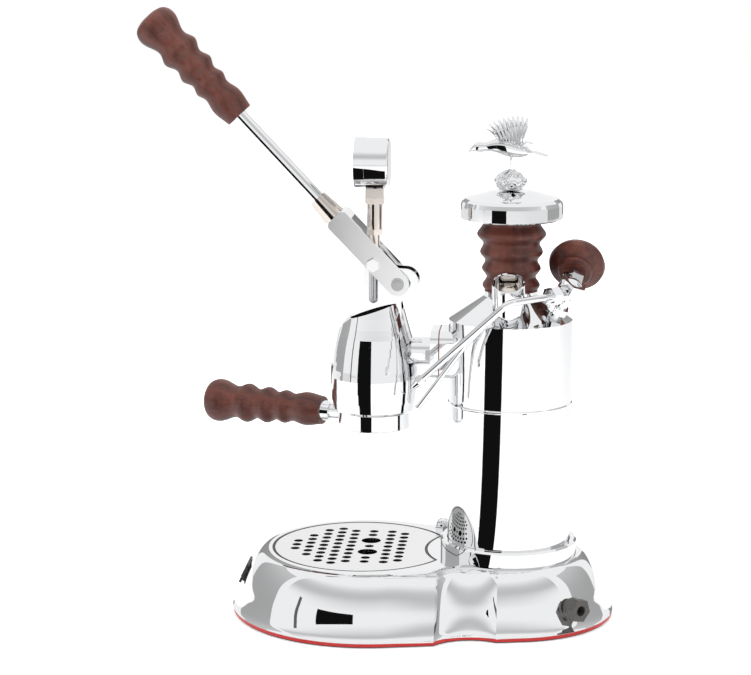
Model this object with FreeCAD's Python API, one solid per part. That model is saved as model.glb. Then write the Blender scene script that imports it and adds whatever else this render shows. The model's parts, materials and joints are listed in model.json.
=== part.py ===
"""Manual lever espresso machine: figure-of-eight base, upright boiler, lever group and steam side.

Frame: millimetres, +Z up, origin on the floor under the middle of the base. -Y is the side where
the barista works the lever, +Y is the boiler end, +X is the side with the steam wand.
Each function below returns one sub-part, and the table at the end writes one STEP file per node.
"""
import FreeCAD
import Part
import math
import os

V = FreeCAD.Vector

# ---- driving dimensions -------------------------------------------------------------------------
FIT = 0.05              # radial clearance of a running fit
GAP = 0.3               # gap between faces of bodies that move past each other

# base
LOBE_R = 100.0          # foot radius of the front lobe
LOBE_Y = -41.1          # centre of the front lobe
BOILER_Y = 63.5         # boiler axis
BOILER_R = 45.0
RING_R = BOILER_R + 5.0     # clamp ring round the boiler's foot
REAR_R = RING_R + 27.5      # foot radius of the rear lobe, round the boiler
BASE_H = 47.0           # top of the base
FOOT_Z = 4.2            # lower edge of the plated shell
BAND_Z = 1.4            # lower edge of the trim band
SHEET = 1.5             # sheet thickness of the base shell
CREASE_A = (6.6, 31.4)  # crease between front lobe and waist: distance out of the lobe, degrees
CREASE_B = (2.7, -3.9)  # crease between waist and rear lobe, in the same way
WAIST_DEPTH = 8.5       # how far the waist is hollowed between its creases
# how far the wall has moved in from the foot line at each height
WALL_RISE = ((FOOT_Z, 0.0), (FOOT_Z + 1.2, 1.4), (FOOT_Z + 3.8, 3.2), (FOOT_Z + 10.8, 6.2),
             (FOOT_Z + 20.8, 9.6), (BASE_H - 12.0, 14.0), (BASE_H - 5.0, 18.6), (BASE_H - 1.4, 22.6),
             (BASE_H, 27.0))
STUD_R = 4.0
STUD_IN = (13.0, 20.0)  # studs lie this far inside the front and rear foot circles
STUD_AT = (-41.0, 37.0)
SCREW_R = 2.0
FOOT_R = 9.0
FOOT_IN = (30.7, 32.3)
FOOT_AT = (-26.5, 13.5)
CAP_NUT_AT = (-52.6, 12.0)
CAP_NUT = 11.0          # across flats

# drip tray and grate
TRAY_Y = -45.0
GRATE_R = 64.5
NOTCH_R = RING_R + 11.6     # radius of the notch round the boiler, in the grate
GRATE_T = 2.0
TRAY_WALL = 1.6
TRAY_LEDGE = 1.8        # width of the ledge that carries the grate
TRAY_DEPTH = 21.0
HOLE_R = 3.4
BIG_HOLE_R = 7.25
HOLE_PITCH = 10.125
HOLE_RIM = 3.0          # least metal left between a hole and the grate's edge
BIG_HOLE_X = 15.2
BIG_ROW = 5.4           # row of the two big holes, behind the tray's centre
HOLE_ROWS = ((-48.8, 3), (-38.7, 6), (-28.6, 9), (-18.5, 10), (-8.3, 9), (19.3, 9), (29.3, 8))

# boiler
BOILER_WALL = 1.5
BOILER_L = 174.0        # straight wall above the base
SHOULDER_H = 16.0
NECK_L = 4.6
RING_TOP = BASE_H + 11.0
CYL_TOP = BASE_H + BOILER_L
CONE_TOP = CYL_TOP + SHOULDER_H
NECK_R = 19.6
NECK_BORE = 16.6
NECK_TOP = CONE_TOP + NECK_L
BEAD_Z = BASE_H + 113.0
BEAD_OUT = 0.6
PORT_R = 4.0            # water way between boiler and group

# filler cap
CAP_THREAD_L = 8.0
CAP_GASKET_T = 1.0
COLLAR_L = 51.0
COLLAR_BORE = 9.0
CAP_SEAT = NECK_TOP + CAP_GASKET_T
COLLAR_LOW = CAP_SEAT + 0.2
COLLAR_TOP = COLLAR_LOW + COLLAR_L
# turned side of the collar: radius, height above its lower end
COLLAR_SIDE = ((19.2, 0.0), (20.7, 3.4), (17.8, 8.8), (21.3, 15.0), (19.0, 20.6), (22.7, 26.8),
               (20.4, 33.0), (24.9, 39.6), (20.8, 47.2), (23.0, COLLAR_L))
DISC_R = 37.0
DISC_RIM_TOP = COLLAR_TOP + 10.2
DISC_TOP = DISC_RIM_TOP + 10.0
FINIAL_TOP = DISC_TOP + 53.0

# group
GROUP_Y = -35.4         # axis of the group, the piston and the portafilter
CUP_ROOM = 105.0        # from the base to the group's lower edge
GROUP_BOTTOM = BASE_H + CUP_ROOM
BORE_R = 23.5           # cylinder bore
SLEEVE_T = 1.5
CAVITY_TOP = GROUP_BOTTOM + 56.0
MOUTH_R = 27.0          # bore that takes the portafilter
MOUTH_TOP = GROUP_BOTTOM + 11.0
EAR_X = 11.5            # outer face of each ear
EAR_GAP = 6.5           # half of the gap between the ears
NECK_Z = GROUP_BOTTOM + 43.4    # axis of the group's neck
BOILER_FRONT = BOILER_Y - BOILER_R
PORT_L = 5.5            # shortest length of the port between boiler and group gasket
GASKET_T = 0.8
FLANGE_T = 6.0
FLANGE_Y = BOILER_FRONT - PORT_L - GASKET_T - FLANGE_T  # front face of the group's flange
FLANGE_W = 41.0
FLANGE_H = 35.0
FLANGE_BOLT_X = 15.0
FLANGE_BOLT_R = 2.5

# lever linkage, positions in the plane X = 0
PIN_R = 3.1
PIN_Z = GROUP_BOTTOM + 108.8    # piston pin at rest
FULCRUM = (GROUP_Y + 17.7, PIN_Z - 14.0)
LEVER_TILT = 46.7       # lever above the horizontal at rest, degrees
LEVER_UP = 12.0         # degrees the lever can still rise
LEVER_DOWN = 68.0       # degrees it can be pulled down
PISTON_PER_DEG = 0.365  # piston travel per degree of the lever
CHEEK_IN = 12.0
CHEEK_OUT = 15.0
FORK_END = 44.0         # closed end of the fork, along the lever from the piston pin
FORK_HALF = 8.4
ROD_OFFSET = 1.2        # the rod's line runs this far above the piston pin
FERRULE_L = 18.2
ROD_R = 5.1
HANDLE_START = 144.0
HANDLE_L = 96.0

# piston and gauge
PISTON_H = 12.0
PISTON_ROD_R = 5.0
PISTON_STUD_R = 4.0
PISTON_CLEAR = 0.4      # above the screen when the lever is fully down
STEM_R = 3.75
GAUGE_R = 18.6
GAUGE_Z = PIN_Z + 72.2
GAUGE_FRONT = GROUP_Y - 14.2
GAUGE_BACK = GROUP_Y + 10.8
NEEDLE_REST = -135.0    # pointing at zero, down on the left of the dial

# portafilter
PF_R = 27.0
PF_BOTTOM = GROUP_BOTTOM - 13.0
PF_TURN = 19.0          # handle's angle from straight ahead, towards -X, degrees
PF_HANDLE_Z = PF_BOTTOM + 7.6
PF_BORE = 23.6
PF_TOP = GROUP_BOTTOM + 6.3     # top of the part that enters the group
PF_SKIRT_R = 26.4
LUG_R = 29.0
LUG_Z = (GROUP_BOTTOM + 3.4, PF_TOP)
BASKET_R = 22.6
BASKET_WALL = 0.6
PF_NECK = 35.5          # distance from the axis where the ferrule starts
PF_GRIP = 42.0
PF_TANG_R = 4.0

# steam side
VALVE_AZ = 27.0         # steam valve's stub, from +Y towards +X, degrees
VALVE_RADIUS = BOILER_R - 9.5
SHOULDER_TILT = math.degrees(math.atan2(CONE_TOP - CYL_TOP, BOILER_R - 21.0))
WAND_R = 2.5
WAND_AXIS = V(0.7136, -0.7005, 0.0)
WAND_BEND_FROM_VALVE = V(44.3431, -42.2040, -2.2384)
WAND_TIP_FROM_BEND = V(-2.0, -60.2, -55.4)
KNOB_R = 20.5
STEM_DIR = V(-0.887, 0.144, 0.438)
SAFETY_TILT = 29.0
SAFETY_BASE = V(BOILER_R - 11.4, BOILER_Y - 0.3, CYL_TOP + 6.0)
SAFETY_R = 11.6
SAFETY_L = 31.6
CUP_FOOT = 9.0          # where the safety valve's cup starts on its stem
CUP_FLOOR = 5.0
SAFETY_STEM_R = 7.0
RELIEF_R = 2.0
RELIEF_ROUTE = (V(BOILER_R - 3.5, BOILER_Y - 9.5, CYL_TOP + 11.0),
                V(BOILER_R - 1.0, BOILER_Y - 17.5, CYL_TOP + 1.6),
                V(BOILER_R - 4.0, BOILER_Y - 30.5, CYL_TOP - 12.5),
                V(BOILER_R - 5.0, BOILER_Y - 64.7, CYL_TOP - 59.3))

# sight glass, on the far side
SIGHT_X = -BOILER_R - 13.0
SIGHT_LOW = BASE_H + 41.0
SIGHT_HIGH = CYL_TOP - 23.0
SIGHT_R = 4.5
SIGHT_WALL = 1.2
GUARD_R = 9.0

# switch and cable gland
SWITCH_Z = 26.0
SWITCH_W = 22.0
SWITCH_H = 15.0
GLAND_AZ = 48.0
GLAND_Z = 20.0
GLAND_R = 7.6


# ---- small helpers ------------------------------------------------------------------------------
def rad(angle):
    return math.radians(angle)


def cyl(radius, low, high, x=0.0, y=0.0):
    return Part.makeCylinder(radius, high - low, V(x, y, low))


def ring(outer, inner, low, high, x=0.0, y=0.0):
    return cyl(outer, low, high, x, y).cut(cyl(inner, low - 1, high + 1, x, y))


def rod(start, end, radius):
    return Part.makeCylinder(radius, (end - start).Length, start, end - start)


def cone(start, end, r_start, r_end):
    return Part.makeCone(r_start, r_end, (end - start).Length, start, end - start)


def box(x0, x1, y0, y1, z0, z1):
    return Part.makeBox(x1 - x0, y1 - y0, z1 - z0, V(x0, y0, z0))


def fuse(first, *others):
    return first.fuse(list(others)).removeSplitter() if others else first


def turned(points, x=0.0, y=0.0):
    """Solid of revolution about a vertical axis: points are (radius, height), from axis to axis."""
    wire = Part.makePolygon([V(r, 0, z) for r, z in points + (points[0],)])
    return Part.Face(wire).revolve(V(0, 0, 0), V(0, 0, 1), 360).translated(V(x, y, 0))


def turned_curve(points, bore=0.0):
    """Solid of revolution whose side is one smooth curve through (radius, height) points."""
    curve = Part.BSplineCurve()
    curve.interpolate([V(r, 0, z) for r, z in points])
    (first_r, first_z), (last_r, last_z) = points[0], points[-1]
    lines = [Part.makeLine(V(last_r, 0, last_z), V(bore, 0, last_z)),
             Part.makeLine(V(bore, 0, last_z), V(bore, 0, first_z)),
             Part.makeLine(V(bore, 0, first_z), V(first_r, 0, first_z))]
    wire = Part.Wire([curve.toShape()] + lines)
    return Part.Face(wire).revolve(V(0, 0, 0), V(0, 0, 1), 360)


def prism_x(points, x0, x1):
    """Outline of (y, z) points, extruded along X."""
    wire = Part.makePolygon([V(x0, y, z) for y, z in points + (points[0],)])
    return Part.Face(wire).extrude(V(x1 - x0, 0, 0))


def hexagon(across, start, end):
    """Hexagonal prism of a given width across flats, between two points."""
    corner = across / 2 / math.cos(rad(30))
    points = [V(corner * math.cos(rad(60 * k)), corner * math.sin(rad(60 * k)), 0) for k in range(7)]
    solid = Part.Face(Part.makePolygon(points)).extrude(V(0, 0, (end - start).Length))
    return aim(solid, start, end - start)


def aim(shape, start, direction):
    """Carry a shape built up from the origin along +Z to a start point and direction."""
    shape.Placement = FreeCAD.Placement(start, FreeCAD.Rotation(V(0, 0, 1), direction))
    return shape


def slot_x(y0, z0, y1, z1, radius, x0, x1):
    """Round-ended slot across X between two centre points in the YZ plane."""
    length = math.hypot(y1 - y0, z1 - z0)
    side = V(0, -(z1 - z0) / length * radius, (y1 - y0) / length * radius)
    a, b = V(x0, y0, z0), V(x0, y1, z1)
    face = Part.Face(Part.makePolygon([a + side, b + side, b - side, a - side, a + side]))
    ends = [Part.makeCylinder(radius, x1 - x0, p, V(1, 0, 0)) for p in (a, b)]
    return fuse(face.extrude(V(x1 - x0, 0, 0)), *ends)


# ---- base ---------------------------------------------------------------------------------------
def polar(radius, center_y, out, angle):
    """Point outside (or, if negative, inside) a lobe circle, at an angle from +X."""
    reach = radius + out
    return reach * math.cos(rad(angle)), center_y + reach * math.sin(rad(angle))


def four_points(inside, angles):
    """A front and a rear point inside the lobes, each with its mirror image."""
    front = polar(LOBE_R, LOBE_Y, -inside[0], angles[0])
    rear = polar(REAR_R, BOILER_Y, -inside[1], angles[1])
    return [(side * x, y) for x, y in (front, rear) for side in (1, -1)]


def outline(inset, z):
    """Plan outline of the base, moved in from the foot line: two lobes and two hollow waists."""
    shift_a, shift_m, shift_b = 1.24 * inset, 1.27 * inset, 1.06 * inset
    front, rear = LOBE_R - inset, REAR_R - inset
    (ax, ay), (bx, by) = polar(LOBE_R, LOBE_Y, *CREASE_A), polar(REAR_R, BOILER_Y, *CREASE_B)
    span = math.hypot(bx - ax, by - ay)
    mx = (ax + bx) / 2 - (by - ay) / span * WAIST_DEPTH - shift_m
    my = (ay + by) / 2 + (bx - ax) / span * WAIST_DEPTH
    ax, bx = ax - shift_a, bx - shift_b

    def tangent(cx_y, radius, px, py, side):
        """Point where the line from (px, py) touches a lobe circle centred on the Y axis."""
        dx, dy = px, py - cx_y
        dist = math.hypot(dx, dy)
        angle = math.atan2(dy, dx) + side * math.acos(min(1.0, radius / dist))
        return radius * math.cos(angle), cx_y + radius * math.sin(angle)

    fx, fy = tangent(LOBE_Y, front, ax, ay, -1)
    rx, ry = tangent(BOILER_Y, rear, bx, by, 1)

    def p(x, y):
        return V(x, y, z)

    edges = [
        Part.Arc(p(-fx, fy), p(0, LOBE_Y - front), p(fx, fy)).toShape(),
        Part.makeLine(p(fx, fy), p(ax, ay)),
        Part.Arc(p(ax, ay), p(mx, my), p(bx, by)).toShape(),
        Part.makeLine(p(bx, by), p(rx, ry)),
        Part.Arc(p(rx, ry), p(0, BOILER_Y + rear), p(-rx, ry)).toShape(),
        Part.makeLine(p(-rx, ry), p(-bx, by)),
        Part.Arc(p(-bx, by), p(-mx, my), p(-ax, ay)).toShape(),
        Part.makeLine(p(-ax, ay), p(-fx, fy)),
    ]
    return Part.Wire(edges)


def slab(inset, low, high):
    return Part.Face(outline(inset, low)).extrude(V(0, 0, high - low))


def base_solid(thinner):
    """Solid inside the base wall, a sheet thickness smaller all over if asked."""
    levels = [(z - thinner, inset + thinner) for z, inset in WALL_RISE]
    loft = Part.makeLoft([outline(inset, z) for z, inset in levels], True, True)
    return loft if loft.Volume > 0 else loft.reversed()


def tray_outline(radius, notch, low, high):
    return cyl(radius, low, high, y=TRAY_Y).cut(cyl(notch, low - 1, high + 1, y=BOILER_Y))


def pocket_sizes():
    """Radius and notch radius of the recess that holds the tray."""
    play = GAP + TRAY_WALL + GAP
    return GRATE_R + play, NOTCH_R - play


POCKET_FLOOR = BASE_H - TRAY_DEPTH - 1.0
STUD_POINTS = four_points(STUD_IN, STUD_AT)


def base_shell():
    outer = base_solid(0.0)
    hollow = outer.cut(base_solid(SHEET))
    radius, notch = pocket_sizes()
    well = tray_outline(radius + SHEET, notch - SHEET, POCKET_FLOOR - SHEET, BASE_H - 0.5)
    studs = [cyl(STUD_R, FOOT_Z, BASE_H, x, y).common(outer) for x, y in STUD_POINTS]
    shell = fuse(hollow, well.common(outer), *studs)
    shell = shell.cut(tray_outline(radius, notch, POCKET_FLOOR, BASE_H + 1))
    shell = shell.cut(cyl(BOILER_R - 5.0, BASE_H - 5, BASE_H + 1, y=BOILER_Y))
    for x, y in STUD_POINTS:
        shell = shell.cut(cyl(SCREW_R + FIT, FOOT_Z - 1, FOOT_Z + 9, x, y))
    shell = shell.cut(rod(gland_point(-6), gland_point(6), GLAND_R - 1.6 + FIT))
    return shell.cut(switch_block(SWITCH_W - 3, SWITCH_H - 3, -14, 8))


def trim_band():
    return slab(0.5, BAND_Z, FOOT_Z).cut(slab(4.0, BAND_Z - 1, FOOT_Z + 1))


def base_plate():
    plate = fuse(slab(1.4, BAND_Z - 0.9, BAND_Z), slab(4.0, BAND_Z, FOOT_Z))
    for x, y in STUD_POINTS:
        plate = plate.cut(cyl(SCREW_R + FIT, 0, FOOT_Z + 1, x, y))
        plate = plate.cut(cyl(2 * SCREW_R + GAP, 0, BAND_Z + 0.8, x, y))
    for x, y in foot_points():
        plate = plate.cut(cyl(FOOT_R, 0, BAND_Z + 0.6, x, y))
    return plate


def foot_points():
    return four_points(FOOT_IN, FOOT_AT) + [(0.0, 0.0)]


def base_feet():
    return Part.makeCompound([cyl(FOOT_R, 0.0, BAND_Z + 0.6, x, y) for x, y in foot_points()])


def base_screws():
    screws = []
    for x, y in STUD_POINTS:
        head = cyl(2 * SCREW_R, BAND_Z - 0.6, BAND_Z + 0.8, x, y)
        screws.append(fuse(head, cyl(SCREW_R, BAND_Z, FOOT_Z + 7, x, y)))
    return Part.makeCompound(screws)


def base_cap_nut():
    x, y = CAP_NUT_AT
    flats = BASE_H + 3.0
    nut = hexagon(CAP_NUT, V(x, y, BASE_H), V(x, y, flats))
    dome = Part.makeSphere(CAP_NUT / 2).common(box(-9, 9, -9, 9, 0, 9)).translated(V(x, y, flats))
    return fuse(nut, dome)


# ---- switch and cable gland -----------------------------------------------------------------------
SWITCH_TILT = 66.0      # front wall's slope at the switch, degrees from the horizontal


def switch_frame():
    """Point on the front wall and its outward normal, where the switch sits."""
    inset = 9.9
    point = V(0, LOBE_Y - LOBE_R + inset, SWITCH_Z)
    return point, V(0, -math.sin(rad(SWITCH_TILT)), math.cos(rad(SWITCH_TILT)))


def switch_block(width, height, back, front):
    point, normal = switch_frame()
    block = box(-width / 2, width / 2, -height / 2, height / 2, back, front)
    return aim(block, point, normal)


def switch_housing():
    bezel = switch_block(SWITCH_W, SWITCH_H, 0.4, 2.2)
    can = switch_block(SWITCH_W - 3.2, SWITCH_H - 3.2, -13, 0.4)
    return fuse(bezel, can).cut(switch_block(SWITCH_W - 6, SWITCH_H - 6, -8, 3))


def switch_rocker():
    point, normal = switch_frame()
    half = (SWITCH_H - 6) / 2 - 0.8
    wide = SWITCH_W - 6 - 2 * GAP
    flat = ((-half, -1.0), (0, -3.2), (half, -1.0), (half, 1.4), (0, 0.8), (-half, 2.7))
    wire = Part.makePolygon([V(-wide / 2, y, z) for y, z in flat + (flat[0],)])
    return aim(Part.Face(wire).extrude(V(wide, 0, 0)), point, normal)


def gland_point(out):
    """Point on the gland's axis, at a distance out from the base wall."""
    radius = REAR_R - 8.2 + out
    return V(radius * math.sin(rad(GLAND_AZ)), BOILER_Y + radius * math.cos(rad(GLAND_AZ)), GLAND_Z)


def gland_body():
    body = fuse(rod(gland_point(-5), gland_point(1.2), GLAND_R - 1.6),
                rod(gland_point(1.2), gland_point(6.0), GLAND_R))
    body = body.cut(rod(gland_point(-6), gland_point(7), 4.0))
    return body.cut(base_wall_ring())


def base_wall_ring():
    """The base wall round the gland, used to seat the gland's shoulder on it."""
    return base_solid(0.0).cut(rod(gland_point(-8), gland_point(8), GLAND_R - 1.6))


def gland_nut():
    nut = hexagon(2 * GLAND_R, gland_point(6.0), gland_point(12.0))
    return nut.cut(rod(gland_point(5), gland_point(13), 3.8))


def cable_gland():
    return Part.makeCompound([gland_body(), gland_nut()])


# ---- drip tray --------------------------------------------------------------------------------------
def drip_tray():
    out_r, out_n = GRATE_R + GAP + TRAY_WALL, NOTCH_R - GAP - TRAY_WALL
    top, floor = BASE_H - 0.2, POCKET_FLOOR
    tray = tray_outline(out_r, out_n, floor, top)
    seat = top - GRATE_T - 0.2
    tray = tray.cut(tray_outline(GRATE_R + GAP, NOTCH_R - GAP, seat, top + 1))
    ledge = TRAY_LEDGE
    return tray.cut(tray_outline(GRATE_R - ledge, NOTCH_R + ledge, floor + TRAY_WALL, top + 1))


def drip_grate():
    top = BASE_H - 0.1
    low = top - GRATE_T - 0.3
    grate = tray_outline(GRATE_R, NOTCH_R, low, top)
    holes = [(BIG_HOLE_R, side * BIG_HOLE_X, BIG_ROW) for side in (-1, 1)]
    holes += [(HOLE_R, HOLE_PITCH * n, BIG_ROW) for n in (-4, -3, 0, 3, 4)]
    for y, count in HOLE_ROWS:
        holes += [(HOLE_R, HOLE_PITCH * (k - (count - 1) / 2), y) for k in range(count)]
    return grate.cut([cyl(r, low - 1, top + 1, x, TRAY_Y + y) for r, x, y in holes if hole_fits(r, x, y)])


def hole_fits(radius, x, y):
    """True if a hole placed from the tray's centre leaves enough metal to the grate's edges."""
    to_rim = GRATE_R - math.hypot(x, y)
    to_notch = math.hypot(x, y + TRAY_Y - BOILER_Y) - NOTCH_R
    return min(to_rim, to_notch) > radius + HOLE_RIM


# ---- boiler -------------------------------------------------------------------------------------------
LIP_R = BOILER_R + 2.4
GASKET_TOP = BASE_H + 2.0


def shoulder_z(radius):
    return CYL_TOP + (BOILER_R - radius) * math.tan(rad(SHOULDER_TILT))


def boiler_outer():
    points = ((0, GASKET_TOP), (LIP_R, GASKET_TOP), (LIP_R, GASKET_TOP + 2), (BOILER_R, GASKET_TOP + 2),
              (BOILER_R, BEAD_Z - 2 * BEAD_OUT), (BOILER_R + BEAD_OUT, BEAD_Z - BEAD_OUT / 2),
              (BOILER_R + BEAD_OUT, BEAD_Z + BEAD_OUT / 2),
              (BOILER_R, BEAD_Z + 2 * BEAD_OUT), (BOILER_R, CYL_TOP), (NECK_R, shoulder_z(NECK_R)),
              (0, shoulder_z(NECK_R)))
    return turned(points, y=BOILER_Y)


def boiler_shell():
    inner_r = BOILER_R - BOILER_WALL
    drop = BOILER_WALL / math.cos(rad(SHOULDER_TILT))
    points = ((0, GASKET_TOP - 1), (inner_r, GASKET_TOP - 1), (inner_r, shoulder_z(inner_r) - drop),
              (NECK_R - 2, shoulder_z(NECK_R - 2) - drop), (0, shoulder_z(NECK_R - 2) - drop))
    shell = boiler_outer().cut(turned(points, y=BOILER_Y))
    shell = shell.cut(cyl(NECK_R, CYL_TOP, CONE_TOP + 20, y=BOILER_Y))
    ports = [rod(valve_point(-8), valve_point(8), 3.0), rod(safety_point(-8), safety_point(8), 3.0),
             Part.makeCylinder(PORT_R, 40, V(0, FLANGE_Y, NECK_Z), V(0, 1, 0))]
    ports += [Part.makeCylinder(2.2, 30, V(SIGHT_X, BOILER_Y, z), V(1, 0, 0))
              for z in (SIGHT_LOW, SIGHT_HIGH)]
    return shell.cut(ports)


def boiler_neck():
    return ring(NECK_R, NECK_BORE, CONE_TOP - 9, NECK_TOP, y=BOILER_Y)


def boiler_ring():
    clamp = LIP_R + 0.3
    points = ((clamp, BASE_H), (RING_R, BASE_H), (RING_R, RING_TOP - 1.5), (RING_R - 1.5, RING_TOP),
              (BOILER_R + 0.6, RING_TOP), (BOILER_R + 0.2, RING_TOP - 0.4), (BOILER_R + 0.2, GASKET_TOP + 2),
              (clamp, GASKET_TOP + 2))
    return turned(points, y=BOILER_Y)


def boiler_gasket():
    return ring(LIP_R, BOILER_R - 7, BASE_H, GASKET_TOP, y=BOILER_Y)


SWITCH_PORT = (14.0, BOILER_Y - 18.0)   # where the pressure switch's pipe enters the boiler
SWITCH_NIPPLE = BASE_H - 11.0


def heater_flange():
    plate = cyl(BOILER_R - BOILER_WALL - 0.3, GASKET_TOP, GASKET_TOP + 5, y=BOILER_Y)
    return plate.cut([cyl(2.0, GASKET_TOP - 1, GASKET_TOP + 6, *SWITCH_PORT)])


def heating_element():
    base, bend = GASKET_TOP + 5, BASE_H + 57.0
    legs = [cyl(4.0, base, bend, x, BOILER_Y) for x in (-15, 15)]
    arch = Part.makeTorus(15, 4.0, V(0, BOILER_Y, bend), V(0, 1, 0))
    return fuse(legs[0], legs[1], arch.common(box(-30, 30, 0, 130, bend, bend + 30)))


def thermostat():
    low, top = BASE_H - 9.0, BASE_H - 1.0
    return fuse(cyl(8.0, low, top, -18, BOILER_Y), cyl(3.0, top, GASKET_TOP, -18, BOILER_Y))


def pressure_switch():
    x, y = SWITCH_PORT
    low, top = FOOT_Z + 7.8, BASE_H - 17.0
    return fuse(cyl(13.0, low, top, x, y), cyl(4.5, top, SWITCH_NIPPLE, x, y))


def pressure_pipe():
    return cyl(2.4, SWITCH_NIPPLE, GASKET_TOP, *SWITCH_PORT)


def boiler_controls():
    """Thermostat, pressure switch and its pipe, three separate pieces under the heater flange."""
    return Part.makeCompound([thermostat(), pressure_switch(), pressure_pipe()])


# ---- filler cap -------------------------------------------------------------------------------------------
def cap_gasket():
    return ring(NECK_R - 0.6, NECK_BORE + 0.3, NECK_TOP, CAP_SEAT, y=BOILER_Y)


def cap_insert():
    plug = cyl(NECK_BORE - FIT, NECK_TOP - CAP_THREAD_L, CAP_SEAT, y=BOILER_Y)
    flange = cyl(NECK_R - 1.6, CAP_SEAT, CAP_SEAT + 2.4, y=BOILER_Y)
    return fuse(plug, flange, cyl(COLLAR_BORE, CAP_SEAT, COLLAR_TOP, y=BOILER_Y))


def cap_collar():
    collar = turned_curve(COLLAR_SIDE, bore=COLLAR_BORE).translated(V(0, BOILER_Y, COLLAR_LOW))
    return collar.cut(cyl(NECK_R - 1.6, COLLAR_LOW - 1, CAP_SEAT + 2.4, y=BOILER_Y))


def cap_disc():
    rim_low = COLLAR_TOP + 0.2
    arc = [(DISC_R - 7 + 7 * math.cos(rad(a)), DISC_RIM_TOP + 5.5 * math.sin(rad(a)))
           for a in (0, 30, 60, 90)]
    outer = ((0, COLLAR_TOP), (24.5, COLLAR_TOP), (24.5, DISC_RIM_TOP + 1), (DISC_R - 3, DISC_RIM_TOP + 1),
             (DISC_R - 3, rim_low), (DISC_R - 0.8, rim_low), (DISC_R, rim_low + 0.8)) + tuple(arc)
    return turned(outer + ((14, DISC_TOP), (0, DISC_TOP)), y=BOILER_Y)


def blob(center, radii, tilt=0.0):
    """Ellipsoid at a point of the plane X = 0 with (x, y, z) half sizes, tilted about X."""
    matrix = FreeCAD.Matrix()
    matrix.scale(*radii)
    matrix.rotateX(rad(tilt))
    matrix.move(center)
    return Part.makeSphere(1.0).transformGeometry(matrix)


def cap_finial():
    """A perched bird with raised wings on a small rock, cast in one with its threaded foot."""
    y = BOILER_Y
    foot = hexagon(20, V(0, y - 1, DISC_TOP), V(0, y - 1, DISC_TOP + 2.5))
    rock = turned(((0, DISC_TOP + 2.5), (11.5, DISC_TOP + 2.5), (12.5, DISC_TOP + 5), (8.5, DISC_TOP + 12),
                   (5.5, DISC_TOP + 15), (0, DISC_TOP + 16)), y=y - 1)
    legs = cone(V(0, y - 1, DISC_TOP + 13), V(0, y + 1, DISC_TOP + 30), 4.0, 6.5)
    body = blob(V(0, y - 2, FINIAL_TOP - 22), (7.5, 15.0, 9.0), 12)
    neck = cone(V(0, y - 10, FINIAL_TOP - 21), V(0, y - 26, FINIAL_TOP - 22), 6.0, 3.6)
    head = Part.makeSphere(4.2, V(0, y - 26, FINIAL_TOP - 22))
    beak = cone(V(0, y - 28, FINIAL_TOP - 22), V(0, y - 32, FINIAL_TOP - 25), 2.6, 0.8)
    tail = prism_x(((y + 6, FINIAL_TOP - 19), (y + 26, FINIAL_TOP - 27), (y + 25, FINIAL_TOP - 29.5),
                    (y + 4, FINIAL_TOP - 26)), -6, 6)
    wings = []
    for side in (-1, 1):
        root, tip = side * 4.0, side * 20.0
        lower = [V(root, y - 14, FINIAL_TOP - 16), V(root, y + 10, FINIAL_TOP - 14),
                 V(root, y + 8, FINIAL_TOP - 22), V(root, y - 10, FINIAL_TOP - 22)]
        upper = [V(tip, y - 19, FINIAL_TOP - 6), V(tip, y + 11, FINIAL_TOP), V(tip, y + 12, FINIAL_TOP - 3),
                 V(tip, y - 18, FINIAL_TOP - 9)]
        wires = [Part.makePolygon(loop + [loop[0]]) for loop in (lower, upper)]
        wing = Part.makeLoft(wires, True, True)
        wings.append(wing if wing.Volume > 0 else wing.reversed())
    return fuse(foot, rock, legs, body, neck, head, beak, tail, *wings)


# ---- group ----------------------------------------------------------------------------------------------
def axis_point(z, y=0.0):
    return V(0, GROUP_Y + y, z)


PISTON_UP = LEVER_UP * PISTON_PER_DEG
PISTON_DOWN = LEVER_DOWN * PISTON_PER_DEG
LINK = math.hypot(FULCRUM[0] - GROUP_Y, FULCRUM[1] - PIN_Z)
LINK_ANGLE = math.degrees(math.atan2(PIN_Z - FULCRUM[1], FULCRUM[0] - GROUP_Y))


def raised(points):
    """Outline given above the group's lower edge, lifted to its place."""
    return tuple((across, height + GROUP_BOTTOM) for across, height in points)


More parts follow.
